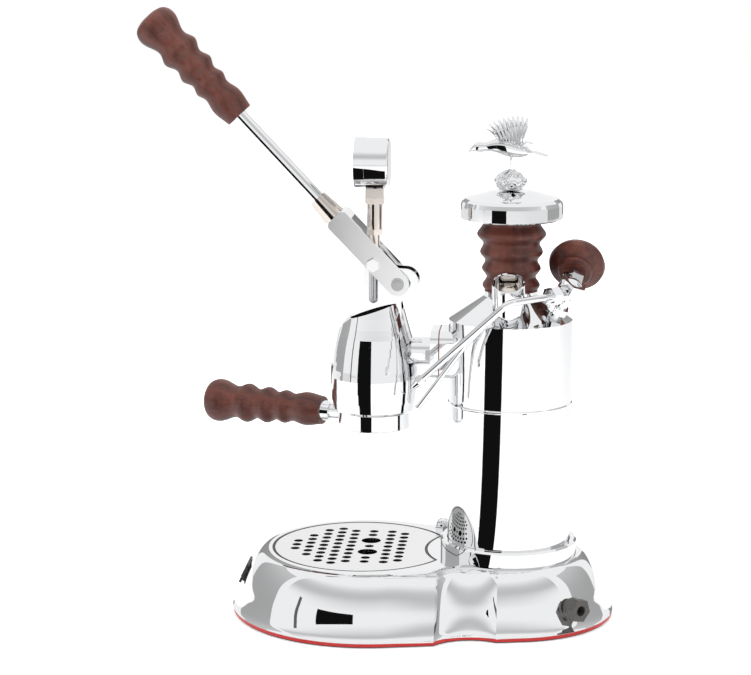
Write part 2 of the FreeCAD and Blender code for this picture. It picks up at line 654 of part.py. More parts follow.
def group_body():
    bell = turned(raised(((0, 0), (29.6, 0), (30.6, 1.5), (31.6, 8), (32.2, 16), (32.1, 25), (31.5, 31),
                          (30.7, 37), (29.8, 43), (28.7, 49), (27.3, 55), (25.2, 62), (23.0, 70),
                          (20.5, 79), (18.6, 86), (0, 86))), y=GROUP_Y)
    front = raised(((-75, -12), (-75, 53), (-63.2, 55), (-61.6, 59), (-58.8, 63.6), (-54.5, 67.2),
                    (-50.4, 71.5), (-47.6, 77), (-45.3, 85), (-43.6, 94), (-42.4, 105), (-42.0, 114),
                    (-39.5, 119.5), (-35.4, 121.6), (-30.5, 119.0), (-26.0, 112.5), (-20.0, 105.6),
                    (10, 105.6), (10, -12)))
    bell = bell.common(prism_x(front, -60, 60))
    rear = tuple((FULCRUM[0] + 4.7 + 10 * math.cos(rad(a)), FULCRUM[1] + 0.4 + 10 * math.sin(rad(a)))
                 for a in range(95, -91, -15))
    ear = prism_x(front[5:17] + rear + raised(((-15.7, 80.5), (-15.0, 70))), -EAR_X, EAR_X)
    neck = Part.makeCylinder(10.6, FLANGE_Y - GROUP_Y - 20, V(0, GROUP_Y + 20, NECK_Z), V(0, 1, 0))
    solid = fuse(bell, ear, neck, flange_plate(FLANGE_Y, FLANGE_Y + FLANGE_T))
    tools = []
    ledge = raised(((-90, 57), (-48.4, 70.6), (-10, 83.2), (-10, 138), (-90, 138)))
    for side in (-1, 1):
        tools.append(prism_x(ledge, min(side * EAR_X, side * 60), max(side * EAR_X, side * 60)))
    tools.append(box(-EAR_GAP, EAR_GAP, -90, 10, GROUP_BOTTOM + 75, GROUP_BOTTOM + 148))
    tools.append(cyl(BORE_R + SLEEVE_T, GROUP_BOTTOM - 1, CAVITY_TOP, y=GROUP_Y))
    tools.append(cyl(MOUTH_R, GROUP_BOTTOM - 1, MOUTH_TOP, y=GROUP_Y))
    tools.append(cyl(LUG_R + GAP, LUG_Z[0] - 0.4, LUG_Z[1] + 1.7, y=GROUP_Y))
    tools.append(cyl(PISTON_ROD_R + FIT, CAVITY_TOP - 1, GROUP_BOTTOM + 88, y=GROUP_Y))
    tools.append(slot_x(GROUP_Y, PIN_Z - PISTON_DOWN - 0.4, GROUP_Y, PIN_Z + PISTON_UP + 0.4,
                        PIN_R + 0.15, -20, 20))
    tools.append(fulcrum_slot())
    tools.append(Part.makeCylinder(PORT_R, 30, V(0, FLANGE_Y + FLANGE_T + 1, NECK_Z), V(0, -1, 0)))
    tools += flange_holes(FLANGE_BOLT_R + 0.1, FLANGE_Y - 1, FLANGE_Y + FLANGE_T + 1)
    tools.append(group_badge())
    return solid.cut(tools)


def fulcrum_slot():
    """Slot in the ears that lets the fulcrum pin move fore and aft as the lever swings."""
    reach = [LINK * math.cos(rad(LINK_ANGLE + a)) for a in (LEVER_UP, 0, -LINK_ANGLE, -LEVER_DOWN)]
    low_y, high_y = GROUP_Y + min(reach) - 0.2, GROUP_Y + max(reach) + 0.2
    return slot_x(low_y, FULCRUM[1] + 0.3, high_y, FULCRUM[1] + 0.3, PIN_R + 1.0, -20, 20)


def flange_plate(y0, y1):
    plate = box(-FLANGE_W / 2, FLANGE_W / 2, y0, y1, NECK_Z - FLANGE_H / 2, NECK_Z + FLANGE_H / 2)
    across = [e for e in plate.Edges if abs(e.Vertexes[0].Y - e.Vertexes[1].Y) > (y1 - y0) / 2]
    return plate.makeFillet(8.0, across)


def flange_holes(radius, y0, y1):
    return [Part.makeCylinder(radius, y1 - y0, V(x, y0, NECK_Z), V(0, 1, 0))
            for x in (-FLANGE_BOLT_X, FLANGE_BOLT_X)]


def group_badge():
    """Small blank plate let into the front of the bell."""
    back = GROUP_Y - 34.2
    plate = box(-7.5, 7.5, back, back + 5.6, GROUP_BOTTOM + 19.5, GROUP_BOTTOM + 33)
    return plate.common(cyl(32.4, GROUP_BOTTOM + 13, GROUP_BOTTOM + 38, y=GROUP_Y))


def flange_gasket():
    y0 = FLANGE_Y + FLANGE_T
    plate = flange_plate(y0, y0 + GASKET_T)
    bore = Part.makeCylinder(PORT_R, 5, V(0, y0 - 1, NECK_Z), V(0, 1, 0))
    return plate.cut([bore] + flange_holes(FLANGE_BOLT_R + 0.1, y0 - 1, y0 + 2))


def boiler_port():
    y0 = FLANGE_Y + FLANGE_T + GASKET_T
    sides = BOILER_Y - math.sqrt(BOILER_R ** 2 - (FLANGE_W / 2) ** 2)
    plate = flange_plate(y0, sides + 2.6)
    bore = Part.makeCylinder(PORT_R, 40, V(0, y0 - 1, NECK_Z), V(0, 1, 0))
    boiler = cyl(BOILER_R, NECK_Z - FLANGE_H, NECK_Z + FLANGE_H, y=BOILER_Y)
    return plate.cut([boiler, bore] + flange_holes(FLANGE_BOLT_R, y0 - 1, BOILER_FRONT))


def flange_screws():
    screws = []
    for x in (-FLANGE_BOLT_X, FLANGE_BOLT_X):
        start = V(x, FLANGE_Y - 3.5, NECK_Z)
        head = hexagon(7.0, start, V(x, FLANGE_Y, NECK_Z))
        shank = rod(V(x, FLANGE_Y, NECK_Z), V(x, BOILER_FRONT, NECK_Z), FLANGE_BOLT_R)
        screws.append(fuse(head, shank))
    return Part.makeCompound(screws)


def cylinder_sleeve():
    sleeve = ring(BORE_R + SLEEVE_T, BORE_R, MOUTH_TOP, CAVITY_TOP, y=GROUP_Y)
    return sleeve.cut(Part.makeCylinder(3.5, 20, V(0, GROUP_Y + 15, NECK_Z + 7), V(0, 1, 0)))


SCREEN_TOP = MOUTH_TOP - 0.4


def shower_screen():
    screen = ring(BORE_R, BORE_R - 1.0, SCREEN_TOP - 2.4, SCREEN_TOP, y=GROUP_Y)
    screen = fuse(screen, cyl(BORE_R - 0.5, SCREEN_TOP - 2.4, SCREEN_TOP - 1.6, y=GROUP_Y))
    tools = []
    for k, count in enumerate((1, 6, 12, 18)):
        tools += [cyl(1.0, SCREEN_TOP - 3, SCREEN_TOP, 5 * k * math.cos(2 * math.pi * n / count),
                      GROUP_Y + 5 * k * math.sin(2 * math.pi * n / count)) for n in range(count)]
    return screen.cut(tools)


def group_gasket():
    return ring(MOUTH_R, BORE_R, MOUTH_TOP - 3.1, MOUTH_TOP, y=GROUP_Y)


def gaskets():
    """The three fixed seals: boiler to base, group flange, and portafilter."""
    return Part.makeCompound([boiler_gasket(), flange_gasket(), group_gasket()])


# ---- piston and pressure gauge --------------------------------------------------------------------------
PISTON_LOW = SCREEN_TOP + PISTON_CLEAR + PISTON_DOWN
ROD_FOOT = PISTON_LOW + 5.0
STEM_LOW = PIN_Z + 12.0
RING_MINOR = 1.3


def piston():
    head = cyl(BORE_R - 0.25, PISTON_LOW, PISTON_LOW + PISTON_H, y=GROUP_Y)
    center = BORE_R - FIT - RING_MINOR
    grooves = [Part.makeTorus(center, RING_MINOR, axis_point(z), V(0, 0, 1)) for z in seal_heights()]
    return head.cut(grooves + [cyl(PISTON_STUD_R, ROD_FOOT, PISTON_LOW + PISTON_H + 1, y=GROUP_Y)])


def seal_heights():
    return (PISTON_LOW + 3.0, PISTON_LOW + 9.0)


def piston_seals():
    center = BORE_R - FIT - RING_MINOR
    return Part.makeCompound([Part.makeTorus(center, RING_MINOR, axis_point(z), V(0, 0, 1))
                              for z in seal_heights()])


def piston_rod():
    top = PISTON_LOW + PISTON_H
    stud = cyl(PISTON_STUD_R, ROD_FOOT, top, y=GROUP_Y)
    shaft = cyl(PISTON_ROD_R, top, PIN_Z - 5, y=GROUP_Y)
    eye = slot_x(GROUP_Y, PIN_Z - 1, GROUP_Y, PIN_Z + 1, 5.6, -EAR_GAP + GAP, EAR_GAP - GAP)
    eye = fuse(eye, stud, shaft, cyl(STEM_R + 1, PIN_Z + 4, STEM_LOW, y=GROUP_Y))
    return eye.cut(Part.makeCylinder(PIN_R, 40, V(-20, GROUP_Y, PIN_Z), V(1, 0, 0)))


def lever_pin():
    """Bolt through the fork, the ears' upright slots and the piston rod's eye."""
    reach = CHEEK_OUT + 0.15
    shank = rod(V(-reach - 2.5, GROUP_Y, PIN_Z), V(reach, GROUP_Y, PIN_Z), PIN_R)
    head = hexagon(8.6, V(reach, GROUP_Y, PIN_Z), V(reach + 3.0, GROUP_Y, PIN_Z))
    nut = hexagon(8.6, V(-reach - 3.2, GROUP_Y, PIN_Z), V(-reach, GROUP_Y, PIN_Z))
    return fuse(shank, head, nut)


def gauge_stem():
    """Adapter between the piston rod and the gauge: stem, hexagons and tube in one turned piece."""
    low_hex, tube, top_hex, block = (GAUGE_Z - GAUGE_R - down for down in (33.4, 29.2, 10.8, 6.4))
    half = 6.4
    pieces = [cyl(STEM_R, STEM_LOW, low_hex, y=GROUP_Y),
              hexagon(11.0, axis_point(low_hex), axis_point(tube)),
              cyl(5.6, tube, top_hex, y=GROUP_Y),
              hexagon(13.6, axis_point(top_hex), axis_point(block)),
              box(-half, half, GROUP_Y - half, GROUP_Y + half, block, GAUGE_Z - GAUGE_R + 0.4)]
    stem = fuse(*pieces)
    bore = cyl(1.5, STEM_LOW + 4, block + 10, y=GROUP_Y)
    return stem.cut([rod(V(0, GAUGE_FRONT - 20, GAUGE_Z), V(0, GAUGE_BACK + 20, GAUGE_Z), GAUGE_R), bore])


def disc_y(radius, y0, y1, inner=0.0):
    disc = Part.makeCylinder(radius, y1 - y0, V(0, y0, GAUGE_Z), V(0, 1, 0))
    if inner:
        disc = disc.cut(Part.makeCylinder(inner, y1 - y0 + 2, V(0, y0 - 1, GAUGE_Z), V(0, 1, 0)))
    return disc


BEZEL_BACK = GAUGE_FRONT + 7.5


def gauge_case():
    case = disc_y(GAUGE_R - 0.3, BEZEL_BACK, GAUGE_BACK)
    rim = [edge for edge in case.Edges if edge.BoundBox.YMin > GAUGE_BACK - 0.01]
    case = case.makeFillet(2.0, rim)
    return case.cut(disc_y(GAUGE_R - 1.8, BEZEL_BACK - 1, GAUGE_BACK - 1.5))


def gauge_bezel():
    return fuse(disc_y(GAUGE_R, GAUGE_FRONT, BEZEL_BACK, GAUGE_R - 1.8),
                disc_y(GAUGE_R - 1.0, GAUGE_FRONT, GAUGE_FRONT + 1.2, GAUGE_R - 3.2))


def gauge_glass():
    return disc_y(GAUGE_R - 1.8, GAUGE_FRONT + 1.2, GAUGE_FRONT + 2.8)


def gauge_dial():
    plate = disc_y(GAUGE_R - 1.8, BEZEL_BACK - 1.0, BEZEL_BACK)
    movement = disc_y(7.0, BEZEL_BACK, GAUGE_BACK - 1.5)
    return fuse(plate, movement).cut(disc_y(1.2, BEZEL_BACK - 2, BEZEL_BACK + 5))


def gauge_needle():
    shaft = disc_y(1.2 - FIT, BEZEL_BACK - 2.6, BEZEL_BACK + 4.5)
    hub = disc_y(2.2, BEZEL_BACK - 2.6, BEZEL_BACK - 1.6)
    blade = Part.Face(Part.makePolygon([V(-0.9, 0, -5), V(0.9, 0, -5), V(0.25, 0, 12.4), V(-0.25, 0, 12.4),
                                        V(-0.9, 0, -5)])).extrude(V(0, 0.5, 0))
    blade.rotate(V(0, 0, 0), V(0, 1, 0), NEEDLE_REST)
    return fuse(shaft, hub, blade.translated(V(0, BEZEL_BACK - 2.3, GAUGE_Z)))



# ---- lever ----------------------------------------------------------------------------------------------
def along(u, v=0.0, x=0.0):
    """Point at a distance u along the lever from the piston pin and v above its line."""
    c, s = math.cos(rad(LEVER_TILT)), math.sin(rad(LEVER_TILT))
    return V(x, GROUP_Y - u * c + v * s, PIN_Z + u * s + v * c)


def lever_fork():
    c, s = math.cos(rad(LEVER_TILT)), math.sin(rad(LEVER_TILT))
    dy, dz = FULCRUM[0] - GROUP_Y, FULCRUM[1] - PIN_Z
    u_b, v_b = -dy * c + dz * s, dy * s + dz * c
    mid = ROD_OFFSET + 1.6
    corner = 2.5
    top, low = mid + FORK_HALF, mid - FORK_HALF
    outline_uv = [(FORK_END - corner, low), (FORK_END, low + corner), (FORK_END, top - corner),
                  (FORK_END - corner, top)]
    outline_uv += [(u_b + FORK_HALF * math.cos(rad(a)), v_b + FORK_HALF * math.sin(rad(a)))
                   for a in range(90, 271, 15)]
    flat = tuple((along(u, v).y, along(u, v).z) for u, v in outline_uv)
    cheeks = [prism_x(flat, CHEEK_IN, CHEEK_OUT), prism_x(flat, -CHEEK_OUT, -CHEEK_IN)]
    back = outline_uv[:4] + [(FORK_END - 9, top), (FORK_END - 9, low)]
    bridge = prism_x(tuple((along(u, v).y, along(u, v).z) for u, v in back), -CHEEK_OUT, CHEEK_OUT)
    fork = fuse(cheeks[0], cheeks[1], bridge)
    return fork.cut([Part.makeCylinder(PIN_R + FIT, 60, V(-30, GROUP_Y, PIN_Z), V(1, 0, 0)),
                     Part.makeCylinder(PIN_R, 60, V(-30, FULCRUM[0], FULCRUM[1]), V(1, 0, 0)),
                     rod(along(FORK_END - 12, ROD_OFFSET), along(FORK_END + 2, ROD_OFFSET), ROD_R)])


def fulcrum_pin():
    y, z = FULCRUM
    pin = rod(V(-CHEEK_OUT - 2.2, y, z), V(CHEEK_OUT + 2.2, y, z), PIN_R)
    clips = [rod(V(s * CHEEK_OUT, y, z), V(s * (CHEEK_OUT + 1.2), y, z), PIN_R + 1.5) for s in (-1, 1)]
    return fuse(pin, *clips)


def lever_ferrule():
    shell = cone(along(FORK_END, ROD_OFFSET), along(FORK_END + FERRULE_L, ROD_OFFSET), 8.4, 6.6)
    return shell.cut(rod(along(FORK_END - 1, ROD_OFFSET), along(HANDLE_START, ROD_OFFSET), ROD_R))


def lever_rod():
    return rod(along(FORK_END - 9, ROD_OFFSET), along(HANDLE_START + 60, ROD_OFFSET), ROD_R)


def handle_profile():
    """(radius, distance from the ferrule end) of the turned grip shared by lever and portafilter."""
    return ((10.4, 0.0), (11.0, 3.5), (12.2, 16.0), (10.6, 25.5), (12.4, 31.0), (10.5, 37.5), (13.5, 45.2),
            (11.1, 53.2), (14.6, 62.2), (12.1, 69.4), (15.9, 84.0), (14.6, 91.6), (10.5, HANDLE_L - 1.0))


def handle(start, direction, bore_r, bore_l):
    grip = turned_curve(handle_profile())
    cap = Part.makeCone(10.5, 7.0, 1.0, V(0, 0, HANDLE_L - 1.0))
    grip = fuse(grip, cap).cut(Part.makeCylinder(bore_r, bore_l + 1, V(0, 0, -1)))
    return aim(grip, start, direction)


def lever_handle():
    start = along(HANDLE_START, ROD_OFFSET)
    return handle(start, along(HANDLE_START + 1, ROD_OFFSET) - start, ROD_R, 60.0)


# ---- portafilter ------------------------------------------------------------------------------------------
def pf_dir():
    return V(-math.sin(rad(PF_TURN)), -math.cos(rad(PF_TURN)), 0)


def pf_point(distance):
    return V(0, GROUP_Y, PF_HANDLE_Z) + pf_dir() * distance


def portafilter_body():
    collar = GROUP_BOTTOM - 0.4
    body = turned(((PF_BORE, PF_BOTTOM), (PF_R - 0.8, PF_BOTTOM), (PF_R, PF_BOTTOM + 0.8),
                   (PF_R, collar - 0.6), (PF_R - 0.6, collar), (PF_SKIRT_R, collar), (PF_SKIRT_R, PF_TOP),
                   (PF_BORE, PF_TOP)), y=GROUP_Y)
    lugs = ring(LUG_R, PF_BORE + 1.4, *LUG_Z, y=GROUP_Y)
    lugs = lugs.common(box(-40, 40, GROUP_Y - 8, GROUP_Y + 8, *LUG_Z))
    arm = rod(pf_point(PF_BORE + 1), pf_point(PF_NECK), 5.4)
    tang = rod(pf_point(PF_NECK), pf_point(PF_GRIP + 55), PF_TANG_R)
    return fuse(body, lugs, arm, tang).cut(cyl(PF_BORE, PF_BOTTOM - 1, PF_TOP + 1, y=GROUP_Y))


def portafilter_ferrule():
    bore = rod(pf_point(PF_NECK - 5), pf_point(PF_GRIP + 5), PF_TANG_R)
    return cone(pf_point(PF_NECK), pf_point(PF_GRIP), 7.0, 7.8).cut(bore)


def portafilter_handle():
    return handle(pf_point(PF_GRIP), pf_dir(), PF_TANG_R, 55.0)


def filter_basket():
    floor, lip = PF_BOTTOM + 1, PF_TOP + 0.2
    wall, top, rim = BASKET_WALL, lip + 0.8, PF_SKIRT_R - 0.6
    points = ((0, floor), (BASKET_R - 1.4, floor), (BASKET_R, floor + 2), (BASKET_R, lip),
              (rim, lip), (rim, top), (BASKET_R - wall, top), (BASKET_R - wall, floor + 2),
              (BASKET_R - 1.4 - wall, floor + wall), (0, floor + wall))
    basket = turned(points, y=GROUP_Y)
    tools = []
    for k in range(4):
        count = max(1, 7 * k)
        tools += [cyl(0.6, PF_BOTTOM, PF_BOTTOM + 3, 4.6 * k * math.cos(2 * math.pi * n / count),
                      GROUP_Y + 4.6 * k * math.sin(2 * math.pi * n / count)) for n in range(count)]
    return basket.cut(tools)


def basket_spring():
    wire = 0.45
    return Part.makeTorus(BASKET_R + wire + FIT, wire, axis_point(PF_TOP - 4.3), V(0, 0, 1))


# ---- steam side ---------------------------------------------------------------------------------
def shoulder_normal(azimuth):
    """Outward normal of the conical shoulder, azimuth from +Y towards +X."""
    flat = math.sin(rad(SHOULDER_TILT))
    return V(flat * math.sin(rad(azimuth)), flat * math.cos(rad(azimuth)), math.cos(rad(SHOULDER_TILT)))


def valve_point(out):
    foot = V(VALVE_RADIUS * math.sin(rad(VALVE_AZ)), BOILER_Y + VALVE_RADIUS * math.cos(rad(VALVE_AZ)),
             shoulder_z(VALVE_RADIUS))
    return foot + shoulder_normal(VALVE_AZ) * out


VALVE_MID = 22.0
KNOB_AT = 19.0          # distance from the valve's middle to the knob's near face
VALVE_STEM_R = 3.0


def valve_axis(distance):
    return valve_point(VALVE_MID) + STEM_DIR * distance


WAND_BEND = valve_point(VALVE_MID) + WAND_BEND_FROM_VALVE
WAND_TIP = WAND_BEND + WAND_TIP_FROM_BEND


def outlet(distance):
    """Point on the wand's swivel axis; zero is where the nut ends and the bare tube starts."""
    start = WAND_BEND - WAND_AXIS * 38.0
    return start + WAND_AXIS * distance


def steam_valve_body():
    stub = rod(valve_point(-4), valve_point(VALVE_MID), 5.2)
    collar = hexagon(14.0, valve_point(3.0), valve_point(8.0))
    middle = hexagon(17.0, valve_point(VALVE_MID - 8.5), valve_point(VALVE_MID + 7.5))
    bonnet = hexagon(15.0, valve_axis(2.0), valve_axis(14.0))
    spout = rod(outlet(-28.0), outlet(-9.5), 4.8)
    ball = Part.makeSphere(9.4, valve_point(VALVE_MID))
    body = fuse(stub, collar, middle, ball, bonnet, spout).cut(boiler_outer())
    stem_bore = rod(valve_axis(-4), valve_axis(20), VALVE_STEM_R + FIT)
    return body.cut([stem_bore, rod(outlet(-16), outlet(0), WAND_R)])


def steam_stem():
    stem = rod(valve_axis(-3.0), valve_axis(KNOB_AT + 16), VALVE_STEM_R)
    return fuse(stem, rod(valve_axis(14.4), valve_axis(KNOB_AT), 5.5))


def steam_knob():
    profile = ((8.2, 0.0), (8.2, 2.2), (11.4, 3.0), (12.6, 4.6), (12.0, 6.2), (14.4, 7.2),
               (KNOB_R - 0.8, 10.2), (KNOB_R, 13.6), (KNOB_R - 1.6, 18.0), (15.0, 22.4), (7.0, 25.2),
               (0.01, 26.0))
    wire = Part.makePolygon([V(r, 0, z) for r, z in profile + ((0, 26.0), (0, 0.0), (8.2, 0.0))])
    knob = Part.Face(wire).revolve(V(0, 0, 0), V(0, 0, 1), 360)
    knob = knob.cut(Part.makeCylinder(VALVE_STEM_R, 17, V(0, 0, -1)))
    return aim(knob, valve_axis(KNOB_AT), STEM_DIR)


def wand_nut():
    nut = fuse(hexagon(12.6, outlet(-9.2), outlet(-1.6)), rod(outlet(-1.6), outlet(0), 5.2))
    return nut.cut([rod(outlet(-20), outlet(10), WAND_R + FIT), rod(outlet(-9.6), outlet(-5.0), 4.9)])


def bent_tube(points, radius, bend):
    """Round bar along straight runs joined by tangent arcs."""
    edges, start = [], points[0]
    for k in range(1, len(points) - 1):
        into = (points[k] - points[k - 1]).normalize()
        out = (points[k + 1] - points[k]).normalize()
        half = into.getAngle(out) / 2
        trim = bend * math.tan(half)
        a, b = points[k] - into * trim, points[k] + out * trim
        middle = (out - into).normalize()
        mid = points[k] + middle * (bend / math.cos(half) - bend)
        edges += [Part.makeLine(start, a), Part.Arc(a, mid, b).toShape()]
        start = b
    edges.append(Part.makeLine(start, points[-1]))
    path = Part.Wire(edges)
    circle = Part.Wire([Part.Circle(points[0], points[1] - points[0], radius).toShape()])
    return path.makePipeShell([circle], True, False)


def steam_wand():
    run = (WAND_TIP - WAND_BEND).normalize()
    tube = bent_tube([outlet(-8.0), WAND_BEND, WAND_TIP], WAND_R, 9.0)
    bead = rod(outlet(-8.8), outlet(-6.0), 4.2)
    nozzle = hexagon(7.0, WAND_TIP - run * 1.0, WAND_TIP + run * 3.5)
    tip = cone(WAND_TIP + run * 3.5, WAND_TIP + run * 8.6, 3.4, 1.8)
    return fuse(tube, bead, nozzle, tip)


def safety_point(out):
    tilt = rad(SAFETY_TILT)
    return SAFETY_BASE + V(math.sin(tilt), 0, math.cos(tilt)) * out


def safety_valve_body():
    stem = rod(safety_point(-6), safety_point(CUP_FOOT), SAFETY_STEM_R)
    thread = [rod(safety_point(z), safety_point(z + 1.0), 8.2) for z in (3.0, 5.0, 7.0)]
    cup = rod(safety_point(CUP_FOOT), safety_point(SAFETY_L), SAFETY_R)
    body = fuse(stem, cup, *thread).cut(boiler_outer())
    bore = rod(safety_point(CUP_FOOT + CUP_FLOOR), safety_point(SAFETY_L + 2), SAFETY_R - 1.3)
    return body.cut([bore, rod(safety_point(-8), safety_point(CUP_FOOT + CUP_FLOOR + 1), 2.2)])


def safety_poppet():
    """Spring-loaded plug in the cup, with a polished adjusting head."""
    low = CUP_FOOT + CUP_FLOOR + 0.2
    disc = rod(safety_point(low), safety_point(low + 3.0), SAFETY_R - 1.6)
    stem = rod(safety_point(low + 3.0), safety_point(low + 8.0), 4.5)
    dome = Part.makeSphere(7.0, safety_point(low + 6.5))
    dome = dome.common(rod(safety_point(low + 7.0), safety_point(low + 20), 9.0))
    return fuse(disc, stem, dome)


def relief_pipe():
    stem = rod(safety_point(-2), safety_point(CUP_FOOT), SAFETY_STEM_R)
    cup = rod(safety_point(CUP_FOOT), safety_point(SAFETY_L), SAFETY_R)
    return bent_tube(list(RELIEF_ROUTE), RELIEF_R, 6.0).cut(fuse(stem, cup))


# ---- sight glass --------------------------------------------------------------------------------
def sight_fittings():
    solids = []
    for z, sign in ((SIGHT_LOW, -1), (SIGHT_HIGH, 1)):
        arm = rod(V(5 - BOILER_R, BOILER_Y, z), V(SIGHT_X, BOILER_Y, z), 4.2)
        nut = hexagon(13.0, V(-1.5 - BOILER_R, BOILER_Y, z), V(-5.5 - BOILER_R, BOILER_Y, z))
        socket = cyl(7.4, z - 8, z + 8, SIGHT_X, BOILER_Y)
        cap = hexagon(11.0, V(SIGHT_X, BOILER_Y, z + sign * 8), V(SIGHT_X, BOILER_Y, z + sign * 12))
        body = fuse(arm, nut, socket, cap).cut(cyl(BOILER_R, z - 20, z + 20, y=BOILER_Y))
        low, high = sorted((z, z - sign * 9))
        solids.append(body.cut(cyl(SIGHT_R + 0.1, low, high, SIGHT_X, BOILER_Y)))
    return Part.makeCompound(solids)


def sight_tube():
    return ring(SIGHT_R, SIGHT_R - SIGHT_WALL, SIGHT_LOW + 1, SIGHT_HIGH - 1, SIGHT_X, BOILER_Y)


def sight_guard():
    low, high = SIGHT_LOW + 8.0, SIGHT_HIGH - 8.0
    guard = ring(GUARD_R, GUARD_R - 1, low, high, SIGHT_X, BOILER_Y)
    window = box(SIGHT_X - 12, SIGHT_X - 3, BOILER_Y - 3.4, BOILER_Y + 3.4, low + 6, high - 6)
    back = box(SIGHT_X + 3.5, SIGHT_X + 12, BOILER_Y - 12, BOILER_Y + 12, low - 1, high + 1)
    rings = [ring(GUARD_R, 7.3, z0, z0 + 2.0, SIGHT_X, BOILER_Y) for z0 in (low, high - 2.0)]
    return fuse(guard.cut([window, back]), *rings)


# ---- nodes ------------------------------------------------------------------------------------------------
NODES = (
    base_shell, trim_band, base_plate, base_feet, base_screws, base_cap_nut, switch_housing,
    switch_rocker, cable_gland, drip_tray, drip_grate, boiler_shell, boiler_neck, boiler_ring,
    gaskets, heater_flange, heating_element, boiler_controls, cap_gasket, cap_insert, cap_collar,
    cap_disc, cap_finial, group_body, group_badge, boiler_port, flange_screws, cylinder_sleeve,
    shower_screen, piston, piston_seals, piston_rod, lever_pin, gauge_stem, gauge_case,
    gauge_bezel, gauge_glass, gauge_dial, gauge_needle, lever_fork, fulcrum_pin, lever_ferrule,
    lever_rod, lever_handle, portafilter_body, portafilter_ferrule, portafilter_handle,
    filter_basket, basket_spring, steam_valve_body, steam_stem, steam_knob, wand_nut, steam_wand,
    safety_valve_body, safety_poppet, relief_pipe, sight_fittings, sight_tube, sight_guard,
)

os.makedirs("parts", exist_ok=True)
for make in NODES:
    shape = make()
    solids = shape.Solids
    print("%-22s solids %d volume %10.1f valid %s" % (make.__name__, len(solids), shape.Volume,
                                                      shape.isValid()))
    whole = solids[0] if len(solids) == 1 else Part.makeCompound(solids)
    whole.exportStep("parts/" + make.__name__ + ".step")
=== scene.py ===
import bpy
import bmesh
import json
import math
from mathutils import Matrix, Vector


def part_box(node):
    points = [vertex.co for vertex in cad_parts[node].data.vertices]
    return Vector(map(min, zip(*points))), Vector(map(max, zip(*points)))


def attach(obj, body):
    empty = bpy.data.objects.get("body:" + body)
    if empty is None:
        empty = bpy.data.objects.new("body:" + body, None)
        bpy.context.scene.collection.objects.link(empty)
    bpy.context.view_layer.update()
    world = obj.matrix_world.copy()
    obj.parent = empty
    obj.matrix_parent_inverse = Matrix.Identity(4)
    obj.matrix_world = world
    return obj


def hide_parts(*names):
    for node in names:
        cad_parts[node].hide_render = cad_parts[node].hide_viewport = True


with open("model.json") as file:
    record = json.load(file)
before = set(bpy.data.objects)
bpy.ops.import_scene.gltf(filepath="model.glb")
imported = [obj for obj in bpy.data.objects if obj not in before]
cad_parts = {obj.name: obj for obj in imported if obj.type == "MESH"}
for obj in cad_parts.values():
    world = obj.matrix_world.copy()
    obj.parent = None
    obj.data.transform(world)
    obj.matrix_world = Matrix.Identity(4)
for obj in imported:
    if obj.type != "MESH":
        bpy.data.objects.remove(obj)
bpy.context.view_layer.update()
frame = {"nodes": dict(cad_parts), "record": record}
scene = bpy.context.scene
scene.view_settings.view_transform = "Standard"


# ---- Camera ----
# A long lens on the steam side of the machine, about 1.7 metres away.
# It stands a little above the machine and looks slightly down.
yaw, pitch = math.radians(5.198), math.radians(10.90)
camera = bpy.data.objects.new("camera", bpy.data.cameras.new("camera"))
scene.collection.objects.link(camera)
camera.location = (1.6562, 0.1157, 0.5251)
sight = Vector((-math.cos(yaw) * math.cos(pitch), -math.sin(yaw) * math.cos(pitch), -math.sin(pitch)))
camera.rotation_euler = sight.to_track_quat("-Z", "Y").to_euler()
camera.data.lens = 111.17
camera.data.sensor_width = 36.0
scene.camera = camera


# ---- Studio ----
# A white room with soft boxes on both sides and above. Narrow black and grey cards, seen only in
# reflections, give the plating its dark stripes and the soft grey edges of its forms.
world = bpy.data.worlds.new("studio")
scene.world = world
world.use_nodes = True
sky, sky_links = world.node_tree.nodes, world.node_tree.links
sky.clear()
ambient = sky.new("ShaderNodeBackground")
ambient.inputs["Color"].default_value = (1, 1, 1, 1)
ambient.inputs["Strength"].default_value = 0.45
backdrop = sky.new("ShaderNodeBackground")
backdrop.inputs["Color"].default_value = (1, 1, 1, 1)
rays = sky.new("ShaderNodeLightPath")
seen = sky.new("ShaderNodeMath")
seen.operation = "MAXIMUM"
seen_or_glossy = sky.new("ShaderNodeMath")
seen_or_glossy.operation = "MAXIMUM"
choose = sky.new("ShaderNodeMixShader")
sky_out = sky.new("ShaderNodeOutputWorld")
sky_links.new(rays.outputs["Is Camera Ray"], seen.inputs[0])
sky_links.new(rays.outputs["Is Transmission Ray"], seen.inputs[1])
sky_links.new(seen.outputs[0], seen_or_glossy.inputs[0])
sky_links.new(rays.outputs["Is Glossy Ray"], seen_or_glossy.inputs[1])
sky_links.new(seen_or_glossy.outputs[0], choose.inputs[0])
sky_links.new(ambient.outputs[0], choose.inputs[1])
sky_links.new(backdrop.outputs[0], choose.inputs[2])
sky_links.new(choose.outputs[0], sky_out.inputs["Surface"])


def soft_box(name, place, width, height, power):
    """Rectangular lamp aimed at the middle of the machine."""
    lamp = bpy.data.lights.new(name, "AREA")
    lamp.shape = "RECTANGLE"
    lamp.size, lamp.size_y, lamp.energy = width, height, power
    holder = bpy.data.objects.new(name, lamp)
    scene.collection.objects.link(holder)
    holder.location = place
    holder.rotation_euler = (Vector((0, 0, 0.2)) - Vector(place)).to_track_quat("-Z", "Y").to_euler()
    holder.visible_glossy = False


soft_box("left_box", (1.0, -1.5, 0.9), 1.0, 1.2, 14.0)
soft_box("right_box", (0.9, 1.5, 0.8), 1.0, 1.2, 12.0)
soft_box("top_box", (0.3, 0.0, 1.9), 1.5, 1.5, 16.0)


